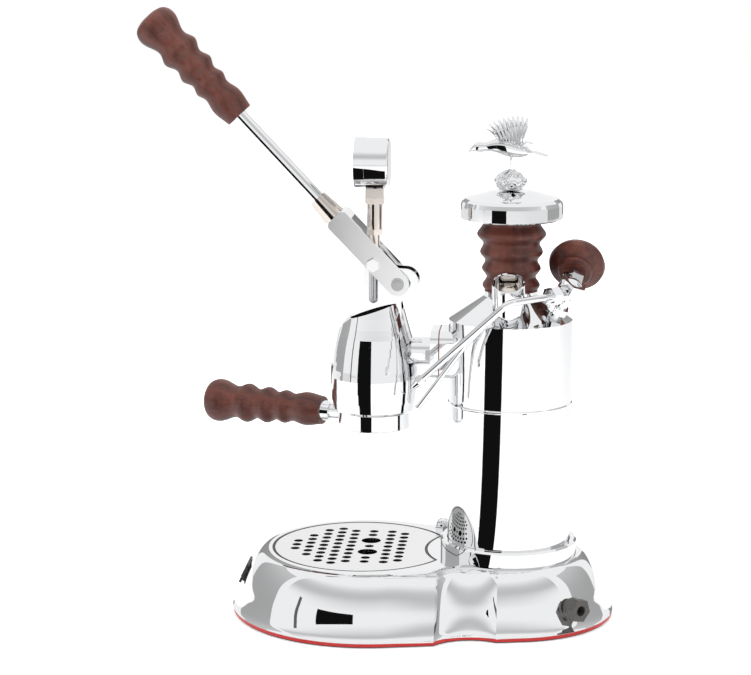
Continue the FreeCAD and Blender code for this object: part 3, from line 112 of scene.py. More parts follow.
def plain_material(name, colour, rough):
    made = bpy.data.materials.new(name)
    made.use_nodes = True
    shader = made.node_tree.nodes["Principled BSDF"]
    shader.inputs["Base Color"].default_value = (*colour, 1)
    shader.inputs["Roughness"].default_value = rough
    return made


def stage_sheet(name, corners, material):
    mesh = bpy.data.meshes.new(name)
    mesh.from_pydata(corners, [], [(0, 1, 2, 3)])
    mesh.materials.append(material)
    sheet = bpy.data.objects.new(name, mesh)
    scene.collection.objects.link(sheet)
    return sheet


floor_paint = plain_material("floor_paint", (0.90, 0.90, 0.90), 0.9)
floor_nodes, floor_links = floor_paint.node_tree.nodes, floor_paint.node_tree.links
floor_rays = floor_nodes.new("ShaderNodeLightPath")
floor_where = floor_nodes.new("ShaderNodeTexCoord")
floor_distance = floor_nodes.new("ShaderNodeVectorMath")
floor_distance.operation = "LENGTH"
floor_far = floor_nodes.new("ShaderNodeMapRange")
floor_far.inputs["From Min"].default_value = 0.22
floor_far.inputs["From Max"].default_value = 0.60
floor_far.inputs["To Min"].default_value = 0.42
floor_far.inputs["To Max"].default_value = 1.0
floor_seen = floor_nodes.new("ShaderNodeMath")
floor_seen.operation = "MULTIPLY"
floor_glow = floor_nodes.new("ShaderNodeMath")
floor_glow.operation = "MULTIPLY_ADD"
floor_glow.inputs[1].default_value = 0.34
floor_links.new(floor_where.outputs["Object"], floor_distance.inputs[0])
floor_links.new(floor_distance.outputs["Value"], floor_far.inputs["Value"])
floor_links.new(floor_rays.outputs["Is Camera Ray"], floor_seen.inputs[0])
floor_links.new(floor_far.outputs["Result"], floor_seen.inputs[1])
floor_links.new(floor_rays.outputs["Is Glossy Ray"], floor_glow.inputs[0])
floor_links.new(floor_seen.outputs[0], floor_glow.inputs[2])
floor_shader = floor_nodes["Principled BSDF"]
floor_shader.inputs["Emission Color"].default_value = (1, 1, 1, 1)
floor_links.new(floor_glow.outputs[0], floor_shader.inputs["Emission Strength"])
reach = 4.0
floor_corners = [(-reach, -reach, 0), (reach, -reach, 0), (reach, reach, 0), (-reach, reach, 0)]
stage_sheet("floor", floor_corners, floor_paint)


def card_paint(name, low, high, shade_low, shade_high):
    """Paint for a card that only reflections see: it glows, from one shade at its foot to another."""
    made = plain_material(name, (0, 0, 0), 1.0)
    nodes, links = made.node_tree.nodes, made.node_tree.links
    shader = nodes["Principled BSDF"]
    shader.inputs["Specular IOR Level"].default_value = 0.0
    shader.inputs["Emission Color"].default_value = (1, 1, 1, 1)
    where = nodes.new("ShaderNodeTexCoord")
    split = nodes.new("ShaderNodeSeparateXYZ")
    fade = nodes.new("ShaderNodeMapRange")
    fade.interpolation_type = "SMOOTHSTEP"
    for label, value in (("From Min", low), ("From Max", high + 0.001),
                         ("To Min", shade_low), ("To Max", shade_high)):
        fade.inputs[label].default_value = value
    links.new(where.outputs["Object"], split.inputs[0])
    links.new(split.outputs["Z"], fade.inputs["Value"])
    links.new(fade.outputs["Result"], shader.inputs["Emission Strength"])
    return made


def bent_card(name, azimuths, distance, low, high, shades, near=None):
    """Curved card round the machine between two azimuths, seen only in reflections.

    With a near distance it lies flat on the floor instead, from there out to its distance.
    """
    steps = 12
    mesh = bpy.data.meshes.new(name)
    points, faces = [], []
    for k in range(steps + 1):
        angle = math.radians(azimuths[0] + (azimuths[1] - azimuths[0]) * k / steps)
        inner = distance if near is None else near
        points.append((inner * math.cos(angle), inner * math.sin(angle), low))
        points.append((distance * math.cos(angle), distance * math.sin(angle), high))
        if k:
            faces.append((2 * k - 2, 2 * k, 2 * k + 1, 2 * k - 1))
    mesh.from_pydata(points, [], faces)
    mesh.materials.append(card_paint(name + "_paint", low, high, *shades))
    sheet = bpy.data.objects.new(name, mesh)
    scene.collection.objects.link(sheet)
    sheet.visible_camera = False
    sheet.visible_shadow = False
    sheet.visible_diffuse = False
    sheet.visible_transmission = False


bent_card("black_floor_card", (-42, -8.5), 2.2, 0.002, 0.002, (0.006, 0.006), near=0.125)
bent_card("black_card", (-42, -8.5), 2.2, 0.0, 0.80, (0.006, 0.006))
bent_card("front_fade", (-80, 74), 2.4, 0.85, 1.7, (1.0, 0.60))
bent_card("front_grey", (-80, 74), 2.4, 1.7, 3.6, (0.60, 0.98))
bent_card("grey_left", (-132, -88), 2.2, 0.0, 2.0, (0.42, 0.62))
bent_card("grey_right", (88, 132), 2.2, 0.0, 2.0, (0.42, 0.62))
bent_card("back_left", (-166, -150), 2.2, 0.0, 2.0, (0.30, 0.45))
bent_card("back_right", (150, 166), 2.2, 0.0, 2.0, (0.30, 0.45))
bent_card("thin_dark_left", (-63, -60), 2.2, 0.0, 0.9, (0.10, 0.14))


# ---- Base shell ----
# The housing under everything: one pressing of steel sheet in the shape of two joined lobes,
# chrome plated and polished. The switch sits in its front wall and the cable gland at its back.
def new_group(name, inputs, outputs):
    """Empty shader node group with its input and output nodes."""
    tree = bpy.data.node_groups.new(name, "ShaderNodeTree")
    for label, value in inputs:
        socket = tree.interface.new_socket(name=label, in_out="INPUT", socket_type="NodeSocketFloat")
        socket.default_value = value
    for label, kind in outputs:
        tree.interface.new_socket(name=label, in_out="OUTPUT", socket_type=kind)
    return tree, tree.nodes.new("NodeGroupInput"), tree.nodes.new("NodeGroupOutput")


def build_buffing():
    """Haze and faint ripple that buffing leaves on bare and plated metal."""
    tree, given, result = new_group(
        "buffing", [("Roughness", 0.04), ("Spread", 0.05), ("Ripple", 0.04), ("Scale", 30.0)],
        [("Roughness", "NodeSocketFloat"), ("Normal", "NodeSocketVector")])
    nodes, links = tree.nodes, tree.links
    where = nodes.new("ShaderNodeTexCoord")
    haze = nodes.new("ShaderNodeTexNoise")
    haze.inputs["Detail"].default_value = 3.0
    links.new(where.outputs["Object"], haze.inputs["Vector"])
    links.new(given.outputs["Scale"], haze.inputs["Scale"])
    spread = nodes.new("ShaderNodeMath")
    spread.operation = "MULTIPLY_ADD"
    links.new(haze.outputs["Fac"], spread.inputs[0])
    links.new(given.outputs["Spread"], spread.inputs[1])
    links.new(given.outputs["Roughness"], spread.inputs[2])
    links.new(spread.outputs[0], result.inputs["Roughness"])
    wave = nodes.new("ShaderNodeTexNoise")
    wave.inputs["Scale"].default_value = 22.0
    wave.inputs["Detail"].default_value = 0.0
    links.new(where.outputs["Object"], wave.inputs["Vector"])
    height = nodes.new("ShaderNodeMath")
    height.operation = "MULTIPLY"
    links.new(wave.outputs["Fac"], height.inputs[0])
    links.new(given.outputs["Ripple"], height.inputs[1])
    bump = nodes.new("ShaderNodeBump")
    bump.inputs["Strength"].default_value = 1.0
    bump.inputs["Distance"].default_value = 0.001
    links.new(height.outputs[0], bump.inputs["Height"])
    links.new(bump.outputs[0], result.inputs["Normal"])
    return tree


buffing = build_buffing()


def metal(name, colour, rough, spread=0.02, ripple=0.03, scale=30.0):
    made = plain_material(name, colour, rough)
    nodes, links = made.node_tree.nodes, made.node_tree.links
    shader = nodes["Principled BSDF"]
    shader.inputs["Metallic"].default_value = 1.0
    group = nodes.new("ShaderNodeGroup")
    group.node_tree = buffing
    for label, value in (("Roughness", rough), ("Spread", spread), ("Ripple", ripple), ("Scale", scale)):
        group.inputs[label].default_value = value
    links.new(group.outputs["Roughness"], shader.inputs["Roughness"])
    links.new(group.outputs["Normal"], shader.inputs["Normal"])
    return made


chrome = metal("polished_chrome", (0.84, 0.845, 0.855), 0.012)


def paint_node(node, material):
    """Gives a machined piece that the frame already shapes its finish."""
    slots = frame["nodes"][node].material_slots
    for slot in slots:
        slot.material = material


def place_piece(name, mesh, material, node, also=(), angle=30.0):
    """Puts a finished mesh in the scene, riding with the frame's node that it stands for."""
    mesh.materials.clear()
    mesh.materials.append(material)
    for face in mesh.polygons:
        face.use_smooth = True
        face.material_index = 0
    mesh.set_sharp_from_angle(angle=math.radians(angle))
    piece = bpy.data.objects.new(name, mesh)
    scene.collection.objects.link(piece)
    record = frame["record"]
    body = next(b for b, nodes in record["behaviour"]["bodies"].items() if node in nodes)
    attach(piece, body)
    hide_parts(node, *also)
    return piece


lobe_r, lobe_y, boiler_y = 0.100, -0.0411, 0.0635
ring_low, ring_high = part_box("boiler_ring")
ring_r = (ring_high.x - ring_low.x) / 2
rear_r = ring_r + 0.0275
deck_z, shell_foot = 0.047, 0.0042
crease_a = (lobe_r + 0.0066, math.radians(31.4), lobe_y)
crease_b = (rear_r + 0.0027, math.radians(-3.9), boiler_y)
waist_depth = 0.0085
sheet_metal = 0.0015


def foot_line(inset, fine=72):
    """Closed plan outline of the base, moved in from the foot line, as (x, y) points."""
    front, rear = lobe_r - inset, rear_r - inset
    (ax, ay), (bx, by) = [(r * math.cos(a), y + r * math.sin(a)) for r, a, y in (crease_a, crease_b)]
    span = math.hypot(bx - ax, by - ay)
    mx = (ax + bx) / 2 - (by - ay) / span * waist_depth - 1.27 * inset
    my = (ay + by) / 2 + (bx - ax) / span * waist_depth
    ax, bx = ax - 1.24 * inset, bx - 1.06 * inset

    def touch(centre_y, radius, px, py, side):
        dist = math.hypot(px, py - centre_y)
        return math.atan2(py - centre_y, px) + side * math.acos(min(1.0, radius / dist))

    from_a, to_b = touch(lobe_y, front, ax, ay, -1), touch(boiler_y, rear, bx, by, 1)
    half = []
    for k in range(fine + 1):
        angle = -math.pi / 2 + (from_a + math.pi / 2) * k / fine
        half.append((front * math.cos(angle), lobe_y + front * math.sin(angle)))
    centre, radius, start, sweep = arc_through((ax, ay), (mx, my), (bx, by))
    waist = [(centre[0] + radius * math.cos(start + sweep * k / 24),
              centre[1] + radius * math.sin(start + sweep * k / 24)) for k in range(25)]
    half += [tuple(u + (v - u) * k / 4 for u, v in zip(half[-1], waist[0])) for k in range(1, 4)] + waist
    tangent = (rear * math.cos(to_b), boiler_y + rear * math.sin(to_b))
    half += [tuple(u + (v - u) * k / 4 for u, v in zip(waist[-1], tangent)) for k in range(1, 4)]
    for k in range(fine + 1):
        angle = to_b + (math.pi / 2 - to_b) * k / fine
        half.append((rear * math.cos(angle), boiler_y + rear * math.sin(angle)))
    return half + [(-x, y) for x, y in half[-2:0:-1]]


def arc_through(a, m, b):
    """Centre, radius, start angle and sweep of the arc from a through m to b."""
    (ax, ay), (mx, my), (bx, by) = a, m, b
    d = 2 * (ax * (my - by) + mx * (by - ay) + bx * (ay - my))
    sa, sm, sb = (x * x + y * y for x, y in (a, m, b))
    cx = (sa * (my - by) + sm * (by - ay) + sb * (ay - my)) / d
    cy = (sa * (bx - mx) + sm * (ax - bx) + sb * (mx - ax)) / d
    start, end = math.atan2(ay - cy, ax - cx), math.atan2(by - cy, bx - cx)
    middle = math.atan2(my - cy, mx - cx)
    sweep = (end - start) % (2 * math.pi)
    if (middle - start) % (2 * math.pi) > sweep:
        sweep -= 2 * math.pi
    return (cx, cy), math.hypot(ax - cx, ay - cy), start, sweep


def smooth_line(points, steps):
    """Catmull-Rom curve through a list of points."""
    given = [Vector(p) for p in points]
    given = [given[0] * 2 - given[1]] + given + [given[-1] * 2 - given[-2]]
    line = []
    for a, b, c, d in zip(given, given[1:], given[2:], given[3:]):
        for k in range(steps):
            t = k / steps
            line.append(0.5 * (2 * b + (c - a) * t + (2 * a - 5 * b + 4 * c - d) * t * t
                               + (3 * b - a - 3 * c + d) * t ** 3))
    return line + [given[-2]]


def pressed_wall(rise, steps):
    """Wall swept up the base outline: rise gives (height, inset) in metres from the foot up."""
    work = bmesh.new()
    rings = []
    for z, inset in smooth_line(rise, steps):
        rings.append([work.verts.new((x, y, z)) for x, y in foot_line(inset)])
    for low, high in zip(rings, rings[1:]):
        for k in range(len(low)):
            work.faces.new((low[k - 1], low[k], high[k], high[k - 1]))
    return work, rings


def fill_deck(work, outer, holes):
    """Flat deck from the wall's top ring to round or notched openings."""
    z = outer[0].co.z
    edges = [work.edges.get((outer[k - 1], outer[k])) for k in range(len(outer))]
    for hole in holes:
        loop = [work.verts.new((x, y, z)) for x, y in hole]
        edges += [work.edges.new((loop[k - 1], loop[k])) for k in range(len(loop))]
    bmesh.ops.triangle_fill(work, use_beauty=True, use_dissolve=False, edges=edges, normal=(0, 0, 1))


def notched_disc(radius, centre_y, notch, fine=96):
    """Outline of a disc with the round notch that clears the boiler's foot."""
    gap = boiler_y - centre_y
    across = (gap * gap + radius * radius - notch * notch) / (2 * gap)
    from_disc = math.acos(across / radius)
    from_notch = math.acos((gap - across) / notch)
    line = []
    for k in range(fine + 1):
        angle = math.pi / 2 + from_disc + (2 * math.pi - 2 * from_disc) * k / fine
        line.append((radius * math.cos(angle), centre_y + radius * math.sin(angle)))
    for k in range(1, 24):
        angle = -math.pi / 2 + from_notch - 2 * from_notch * k / 24
        line.append((notch * math.cos(angle), boiler_y + notch * math.sin(angle)))
    return line


tray_y = -0.045
grate_low, grate_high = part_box("drip_grate")
grate_r = tray_y - grate_low.y
notch_r = ring_r + 0.0116
wall_rise = [(shell_foot, 0.0), (0.0054, 0.0014), (0.008, 0.0032), (0.015, 0.0062), (0.025, 0.0096),
             (0.035, 0.014), (0.042, 0.0186), (0.0456, 0.0226), (deck_z - 0.0001, 0.0262)]
work, rings = pressed_wall(wall_rise, 5)
rim = [work.verts.new((x, y, deck_z)) for x, y in foot_line(0.0272)]
for k in range(len(rim)):
    work.faces.new((rings[-1][k - 1], rings[-1][k], rim[k], rim[k - 1]))
well = notched_disc(grate_r + 0.0021, tray_y, notch_r - 0.0021)
boiler_hole = [(0.040 * math.cos(math.radians(5 * k)), boiler_y + 0.040 * math.sin(math.radians(5 * k)))
               for k in range(72)]
fill_deck(work, rim, [well, boiler_hole])
bmesh.ops.recalc_face_normals(work, faces=work.faces)
shell_mesh = bpy.data.meshes.new("base_pressing")
work.to_mesh(shell_mesh)
work.free()
holder = bpy.data.objects.new("base_work", shell_mesh)
scene.collection.objects.link(holder)
wall = holder.modifiers.new("sheet", "SOLIDIFY")
wall.thickness = sheet_metal
wall.offset = -1.0


def box_cutter(name, size, place, normal):
    """Temporary box that cuts an opening square to a normal."""
    bpy.ops.mesh.primitive_cube_add(size=1.0)
    cutter = bpy.context.active_object
    cutter.name = name
    turn = Vector(normal).to_track_quat("Z", "Y").to_matrix().to_4x4()
    cutter.matrix_world = Matrix.Translation(place) @ turn @ Matrix.Diagonal((*size, 1))
    return cutter


def finished_mesh(holder, *cutters):
    """Mesh of a work object with its modifiers applied; the work objects are taken away."""
    for cutter in cutters:
        cut = holder.modifiers.new(cutter.name, "BOOLEAN")
        cut.object = cutter
        cut.solver = "EXACT"
    bpy.context.view_layer.update()
    mesh = bpy.data.meshes.new_from_object(holder.evaluated_get(bpy.context.evaluated_depsgraph_get()))
    for used in (holder, *cutters):
        bpy.data.objects.remove(used)
    return mesh


switch_place = (0, lobe_y - lobe_r + 0.0099, 0.026)
tilt = math.radians(66)
switch_facing = (0, -math.sin(tilt), math.cos(tilt))
opening = box_cutter("switch_opening", (0.019, 0.012, 0.016), switch_place, switch_facing)
place_piece("pressed_shell", finished_mesh(holder, opening), chrome, "base_shell", angle=28.0)


# ---- Trim band ----
# A thin strip that hides the cut edge of the shell, all the way round.
# It is moulded in red and pressed on from below.
def moulded(name, colour, rough, grain=900.0, relief=0.00004):
    """Moulded plastic or rubber with a fine spark-eroded grain."""
    made = plain_material(name, colour, rough)
    nodes, links = made.node_tree.nodes, made.node_tree.links
    shader = nodes["Principled BSDF"]
    where = nodes.new("ShaderNodeTexCoord")
    pores = nodes.new("ShaderNodeTexNoise")
    pores.inputs["Scale"].default_value = grain
    pores.inputs["Detail"].default_value = 2.0
    links.new(where.outputs["Object"], pores.inputs["Vector"])
    bump = nodes.new("ShaderNodeBump")
    bump.inputs["Strength"].default_value = 0.6
    bump.inputs["Distance"].default_value = relief
    links.new(pores.outputs["Fac"], bump.inputs["Height"])
    links.new(bump.outputs[0], shader.inputs["Normal"])
    patchy = nodes.new("ShaderNodeTexNoise")
    patchy.inputs["Scale"].default_value = 40.0
    links.new(where.outputs["Object"], patchy.inputs["Vector"])
    rough_range = nodes.new("ShaderNodeMapRange")
    rough_range.inputs["To Min"].default_value = rough - 0.06
    rough_range.inputs["To Max"].default_value = rough + 0.06
    links.new(patchy.outputs["Fac"], rough_range.inputs["Value"])
    links.new(rough_range.outputs["Result"], shader.inputs["Roughness"])
    return made


red_trim = moulded("red_trim", (0.52, 0.012, 0.010), 0.35)
paint_node("trim_band", red_trim)


# ---- Underside ----
# A black moulded plate closes the base from below, held by four steel screws.
# Five round feet of black rubber stand under it.
black_plastic = moulded("black_plastic", (0.018, 0.018, 0.020), 0.42)
rubber = moulded("black_rubber", (0.02, 0.02, 0.02), 0.7)
steel = metal("plain_steel", (0.55, 0.55, 0.56), 0.20, 0.10)
paint_node("base_plate", black_plastic)
paint_node("base_feet", rubber)
paint_node("base_screws", steel)


# ---- Deck nut ----
# A small domed nut on the deck beside the boiler.
# It is turned from steel, polished and plated, and closes a stud from below.
paint_node("base_cap_nut", chrome)


# ---- Switch ----
# A rocker switch in a black moulded frame.
# The frame is clipped into an opening of the front wall.
paint_node("switch_housing", black_plastic)
paint_node("switch_rocker", moulded("rocker_plastic", (0.025, 0.025, 0.027), 0.25))


# ---- Cable gland ----
# A gland of dark grey nylon with a hexagonal nut.
# It is screwed into the wall behind the boiler and holds the supply cord.
grey_nylon = moulded("grey_nylon", (0.075, 0.070, 0.065), 0.40)
paint_node("cable_gland", grey_nylon)


# ---- Drip tray and grate ----
# A black moulded tray sits in the deck and catches waste water.
# A plated steel disc with punched holes lies on it as the grate.
paint_node("drip_tray", black_plastic)
satin = metal("satin_plating", (0.82, 0.82, 0.82), 0.16, 0.06)
grate_top, grate_low_z = grate_high.z, grate_low.z
hole_pitch, hole_r, big_hole_r, big_hole_x, big_row = 0.010125, 0.0034, 0.00725, 0.0152, 0.0054
hole_rows = ((-0.0488, 3), (-0.0387, 6), (-0.0286, 9), (-0.0185, 10), (-0.0083, 9), (0.0193, 9), (0.0293, 8))
hole_spots = [(hole_pitch * (k - (count - 1) / 2), tray_y + y)
              for y, count in hole_rows for k in range(count)]
hole_spots += [(hole_pitch * n, tray_y + big_row) for n in (-4, -3, 0, 3, 4)]


def add_node(tree, kind, **settings):
    """New node of a tree with the given settings."""
    node = tree.nodes.new(kind)
    for label, value in settings.items():
        setattr(node, label, value)
    return node


def build_punching():
    """Plate cut from an outline with a punched hole at every point of a second mesh."""
    tree = bpy.data.node_groups.new("punched_plate", "GeometryNodeTree")
    face = tree.interface
    for label, kind in (("Outline", "NodeSocketGeometry"), ("Spots", "NodeSocketObject"),
                        ("Big Spots", "NodeSocketObject"), ("Hole Radius", "NodeSocketFloat"),
                        ("Big Radius", "NodeSocketFloat"), ("Thickness", "NodeSocketFloat"),
                        ("Finish", "NodeSocketMaterial")):
        face.new_socket(name=label, in_out="INPUT", socket_type=kind)
    face.new_socket(name="Plate", in_out="OUTPUT", socket_type="NodeSocketGeometry")
    given, result = add_node(tree, "NodeGroupInput"), add_node(tree, "NodeGroupOutput")
    links = tree.links
    join = add_node(tree, "GeometryNodeJoinGeometry")
    outline = add_node(tree, "GeometryNodeMeshToCurve")
    links.new(given.outputs["Outline"], outline.inputs["Mesh"])
    for spots, radius, fine in (("Spots", "Hole Radius", 24), ("Big Spots", "Big Radius", 48)):
        info = add_node(tree, "GeometryNodeObjectInfo")
        circle = add_node(tree, "GeometryNodeCurvePrimitiveCircle")
        circle.inputs["Resolution"].default_value = fine
        place = add_node(tree, "GeometryNodeInstanceOnPoints")
        links.new(given.outputs[spots], info.inputs["Object"])
        links.new(given.outputs[radius], circle.inputs["Radius"])
        links.new(info.outputs["Geometry"], place.inputs["Points"])
        links.new(circle.outputs["Curve"], place.inputs["Instance"])
        real = add_node(tree, "GeometryNodeRealizeInstances")
        links.new(place.outputs["Instances"], real.inputs["Geometry"])
        links.new(real.outputs["Geometry"], join.inputs["Geometry"])
    links.new(outline.outputs["Curve"], join.inputs["Geometry"])
    fill = add_node(tree, "GeometryNodeFillCurve")
    fill.mode = "TRIANGLES"
    thicken = add_node(tree, "GeometryNodeExtrudeMesh")
    thicken.inputs["Individual"].default_value = False
    flip = add_node(tree, "GeometryNodeFlipFaces")
    down = add_node(tree, "ShaderNodeMath", operation="MULTIPLY")
    down.inputs[1].default_value = -1.0
    both = add_node(tree, "GeometryNodeJoinGeometry")
    weld = add_node(tree, "GeometryNodeMergeByDistance")
    weld.inputs["Distance"].default_value = 0.000001
    paint = add_node(tree, "GeometryNodeSetMaterial")
    links.new(join.outputs[0], fill.inputs["Curve"])
    links.new(fill.outputs["Mesh"], thicken.inputs["Mesh"])
    links.new(given.outputs["Thickness"], down.inputs[0])
    links.new(down.outputs[0], thicken.inputs["Offset Scale"])
    links.new(thicken.outputs["Mesh"], both.inputs[0])
    links.new(fill.outputs["Mesh"], flip.inputs["Mesh"])
    links.new(flip.outputs["Mesh"], both.inputs[0])
    links.new(both.outputs[0], weld.inputs["Geometry"])
    links.new(weld.outputs["Geometry"], paint.inputs["Geometry"])
    links.new(given.outputs["Finish"], paint.inputs["Material"])
    links.new(paint.outputs["Geometry"], result.inputs["Plate"])
    return tree


def points_object(name, points):
    """Object that is only a cloud of points."""
    mesh = bpy.data.meshes.new(name)
    mesh.from_pydata(points, [], [])
    holder = bpy.data.objects.new(name, mesh)
    scene.collection.objects.link(holder)
    return holder


def set_inputs(modifier, **values):
    """Gives a Geometry Nodes modifier its inputs by their names, with spaces written as underscores."""
    for item in modifier.node_group.interface.items_tree:
        if item.item_type == "SOCKET" and item.in_out == "INPUT" and item.name.replace(" ", "_") in values:
            modifier[item.identifier] = values[item.name.replace(" ", "_")]


grate_line = notched_disc(grate_r, tray_y, notch_r)
outline_mesh = bpy.data.meshes.new("grate_outline")
outline_mesh.from_pydata([(x, y, grate_top) for x, y in grate_line],
                         [(k - 1, k) for k in range(1, len(grate_line))] + [(len(grate_line) - 1, 0)], [])
holder = bpy.data.objects.new("grate_work", outline_mesh)
scene.collection.objects.link(holder)
small = points_object("small_spots", [(x, y, grate_top) for x, y in hole_spots])
big = points_object("big_spots", [(side * big_hole_x, tray_y + big_row, grate_top) for side in (-1, 1)])
punch = holder.modifiers.new("punch", "NODES")
punch.node_group = build_punching()
set_inputs(punch, Spots=small, Big_Spots=big, Hole_Radius=hole_r, Big_Radius=big_hole_r,
           Thickness=grate_top - grate_low_z, Finish=satin)
grate_mesh = finished_mesh(holder)
bpy.data.objects.remove(small)
bpy.data.objects.remove(big)
work = bmesh.new()
work.from_mesh(grate_mesh)
bmesh.ops.translate(work, verts=work.verts, vec=(0, 0, grate_top - max(vert.co.z for vert in work.verts)))
bmesh.ops.recalc_face_normals(work, faces=work.faces)
work.to_mesh(grate_mesh)
work.free()
place_piece("punched_grate", grate_mesh, satin, "drip_grate", angle=25.0)


# ---- Boiler ----
# A drawn cylinder with a conical shoulder and a fine raised bead, clamped to the deck by a heavy
# turned ring; all of it polished and plated.
for node in ("boiler_shell", "boiler_neck", "boiler_ring"):
    paint_node(node, chrome)
brass = metal("machined_brass", (0.70, 0.52, 0.25), 0.20, 0.10)
seal = moulded("heat_proof_seal", (0.16, 0.04, 0.025), 0.6)
for node, finish in (("gaskets", seal), ("heater_flange", brass), ("heating_element", steel),
                     ("boiler_controls", brass)):
    paint_node(node, finish)


# ---- Group ----
# The cast bell that holds the cylinder, with two ears for the lever at its top.
# It is bolted to the boiler port, and polished and plated all over.
for node in ("group_body", "boiler_port"):
    paint_node(node, chrome)
paint_node("group_badge", metal("badge_steel", (0.62, 0.62, 0.63), 0.16, 0.08))
paint_node("flange_screws", steel)
paint_node("cylinder_sleeve", brass)
paint_node("shower_screen", steel)


# ---- Piston ----
# A turned brass piston with two rubber seals on a steel rod.
# It hangs from a bolt through the fork.
paint_node("piston", brass)
paint_node("piston_seals", rubber)
paint_node("piston_rod", steel)
paint_node("lever_pin", chrome)


# ---- Pressure gauge ----
# A small plated gauge with a glass window and a white dial.
# It is screwed on a nickel adapter that stands on the piston rod.
nickel = metal("warm_nickel", (0.72, 0.66, 0.61), 0.10, 0.06)
paint_node("gauge_stem", nickel)
paint_node("gauge_case", chrome)
paint_node("gauge_bezel", chrome)
glass = plain_material("gauge_window", (0.95, 0.97, 0.97), 0.02)
glass.node_tree.nodes["Principled BSDF"].inputs["Transmission Weight"].default_value = 1.0
glass.node_tree.nodes["Principled BSDF"].inputs["IOR"].default_value = 1.45
paint_node("gauge_glass", glass)
paint_node("gauge_dial", moulded("dial_enamel", (0.85, 0.85, 0.83), 0.35))
paint_node("gauge_needle", moulded("needle_paint", (0.01, 0.01, 0.01), 0.4))


# ---- Lever ----
# A plated fork that pivots on the fulcrum pin.
# A plated rod runs through a nickel ferrule to the grip, turned from dark red hardwood.
paint_node("lever_fork", metal("satin_chrome", (0.84, 0.84, 0.84), 0.14, 0.06))
paint_node("fulcrum_pin", steel)
paint_node("lever_ferrule", nickel)
paint_node("lever_rod", chrome)


def build_grain():
    """Colour, roughness and pores of close-grained red hardwood, with the grain along local Z."""
    tree, given, result = new_group(
        "hardwood_grain", [("Stretch", 14.0), ("Rings", 90.0), ("Dark", 0.55)],
        [("Fac", "NodeSocketFloat"), ("Pores", "NodeSocketFloat")])
    tree.interface.new_socket(name="Vector", in_out="INPUT", socket_type="NodeSocketVector")
    nodes, links = tree.nodes, tree.links
    squeeze = nodes.new("ShaderNodeCombineXYZ")
    squeeze.inputs[0].default_value = 1.0
    squeeze.inputs[1].default_value = 1.0
    inverse = nodes.new("ShaderNodeMath")
    inverse.operation = "DIVIDE"
    inverse.inputs[0].default_value = 1.0
    links.new(given.outputs["Stretch"], inverse.inputs[1])
    links.new(inverse.outputs[0], squeeze.inputs[2])
    stretched = nodes.new("ShaderNodeVectorMath")
    stretched.operation = "MULTIPLY"
    links.new(given.outputs["Vector"], stretched.inputs[0])
    links.new(squeeze.outputs[0], stretched.inputs[1])
    bands = nodes.new("ShaderNodeTexNoise")
    bands.inputs["Detail"].default_value = 5.0
    bands.inputs["Distortion"].default_value = 0.8
    links.new(stretched.outputs[0], bands.inputs["Vector"])
    links.new(given.outputs["Rings"], bands.inputs["Scale"])
    fine = nodes.new("ShaderNodeTexNoise")
    fine.inputs["Scale"].default_value = 1400.0
    fine.inputs["Detail"].default_value = 2.0
    links.new(stretched.outputs[0], fine.inputs["Vector"])
    mixed = nodes.new("ShaderNodeMath")
    mixed.operation = "MULTIPLY_ADD"
    mixed.inputs[1].default_value = 0.35
    links.new(fine.outputs["Fac"], mixed.inputs[0])
    weighted = nodes.new("ShaderNodeMath")
    weighted.operation = "MULTIPLY"
    weighted.inputs[1].default_value = 0.75
    links.new(bands.outputs["Fac"], weighted.inputs[0])
    links.new(weighted.outputs[0], mixed.inputs[2])
    links.new(mixed.outputs[0], result.inputs["Fac"])
    links.new(fine.outputs["Fac"], result.inputs["Pores"])
    return tree


hardwood = build_grain()


def wood(name, origin, direction):
    """Oiled red hardwood whose grain runs along a turned piece's own axis."""
    made = plain_material(name, (0.2, 0.05, 0.03), 0.4)
    nodes, links = made.node_tree.nodes, made.node_tree.links
    shader = nodes["Principled BSDF"]
    where = nodes.new("ShaderNodeTexCoord")
    turn = nodes.new("ShaderNodeMapping")
    turn.vector_type = "TEXTURE"
    turn.inputs["Location"].default_value = origin
    turn.inputs["Rotation"].default_value = Vector(direction).to_track_quat("Z", "X").to_euler()
    links.new(where.outputs["Object"], turn.inputs["Vector"])
    grain = nodes.new("ShaderNodeGroup")
    grain.node_tree = hardwood
    links.new(turn.outputs[0], grain.inputs["Vector"])
    ramp = nodes.new("ShaderNodeValToRGB")
    ramp.color_ramp.elements[0].position = 0.36
    ramp.color_ramp.elements[0].color = (0.030, 0.0075, 0.0055, 1)
    ramp.color_ramp.elements[1].position = 0.66
    ramp.color_ramp.elements[1].color = (0.150, 0.040, 0.025, 1)
    middle = ramp.color_ramp.elements.new(0.50)
    middle.color = (0.085, 0.020, 0.013, 1)
    links.new(grain.outputs["Fac"], ramp.inputs["Fac"])
    links.new(ramp.outputs["Color"], shader.inputs["Base Color"])
    rough = nodes.new("ShaderNodeMapRange")
    rough.inputs["To Min"].default_value = 0.30
    rough.inputs["To Max"].default_value = 0.52
    links.new(grain.outputs["Pores"], rough.inputs["Value"])
    links.new(rough.outputs["Result"], shader.inputs["Roughness"])
    bump = nodes.new("ShaderNodeBump")
    bump.inputs["Strength"].default_value = 0.5
    bump.inputs["Distance"].default_value = 0.00006
    links.new(grain.outputs["Pores"], bump.inputs["Height"])
    links.new(bump.outputs[0], shader.inputs["Normal"])
    return made


lever_line = Vector((0, -math.cos(math.radians(46.7)), math.sin(math.radians(46.7))))
low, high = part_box("lever_handle")
paint_node("lever_handle", wood("lever_wood", (low + high) / 2, lever_line))


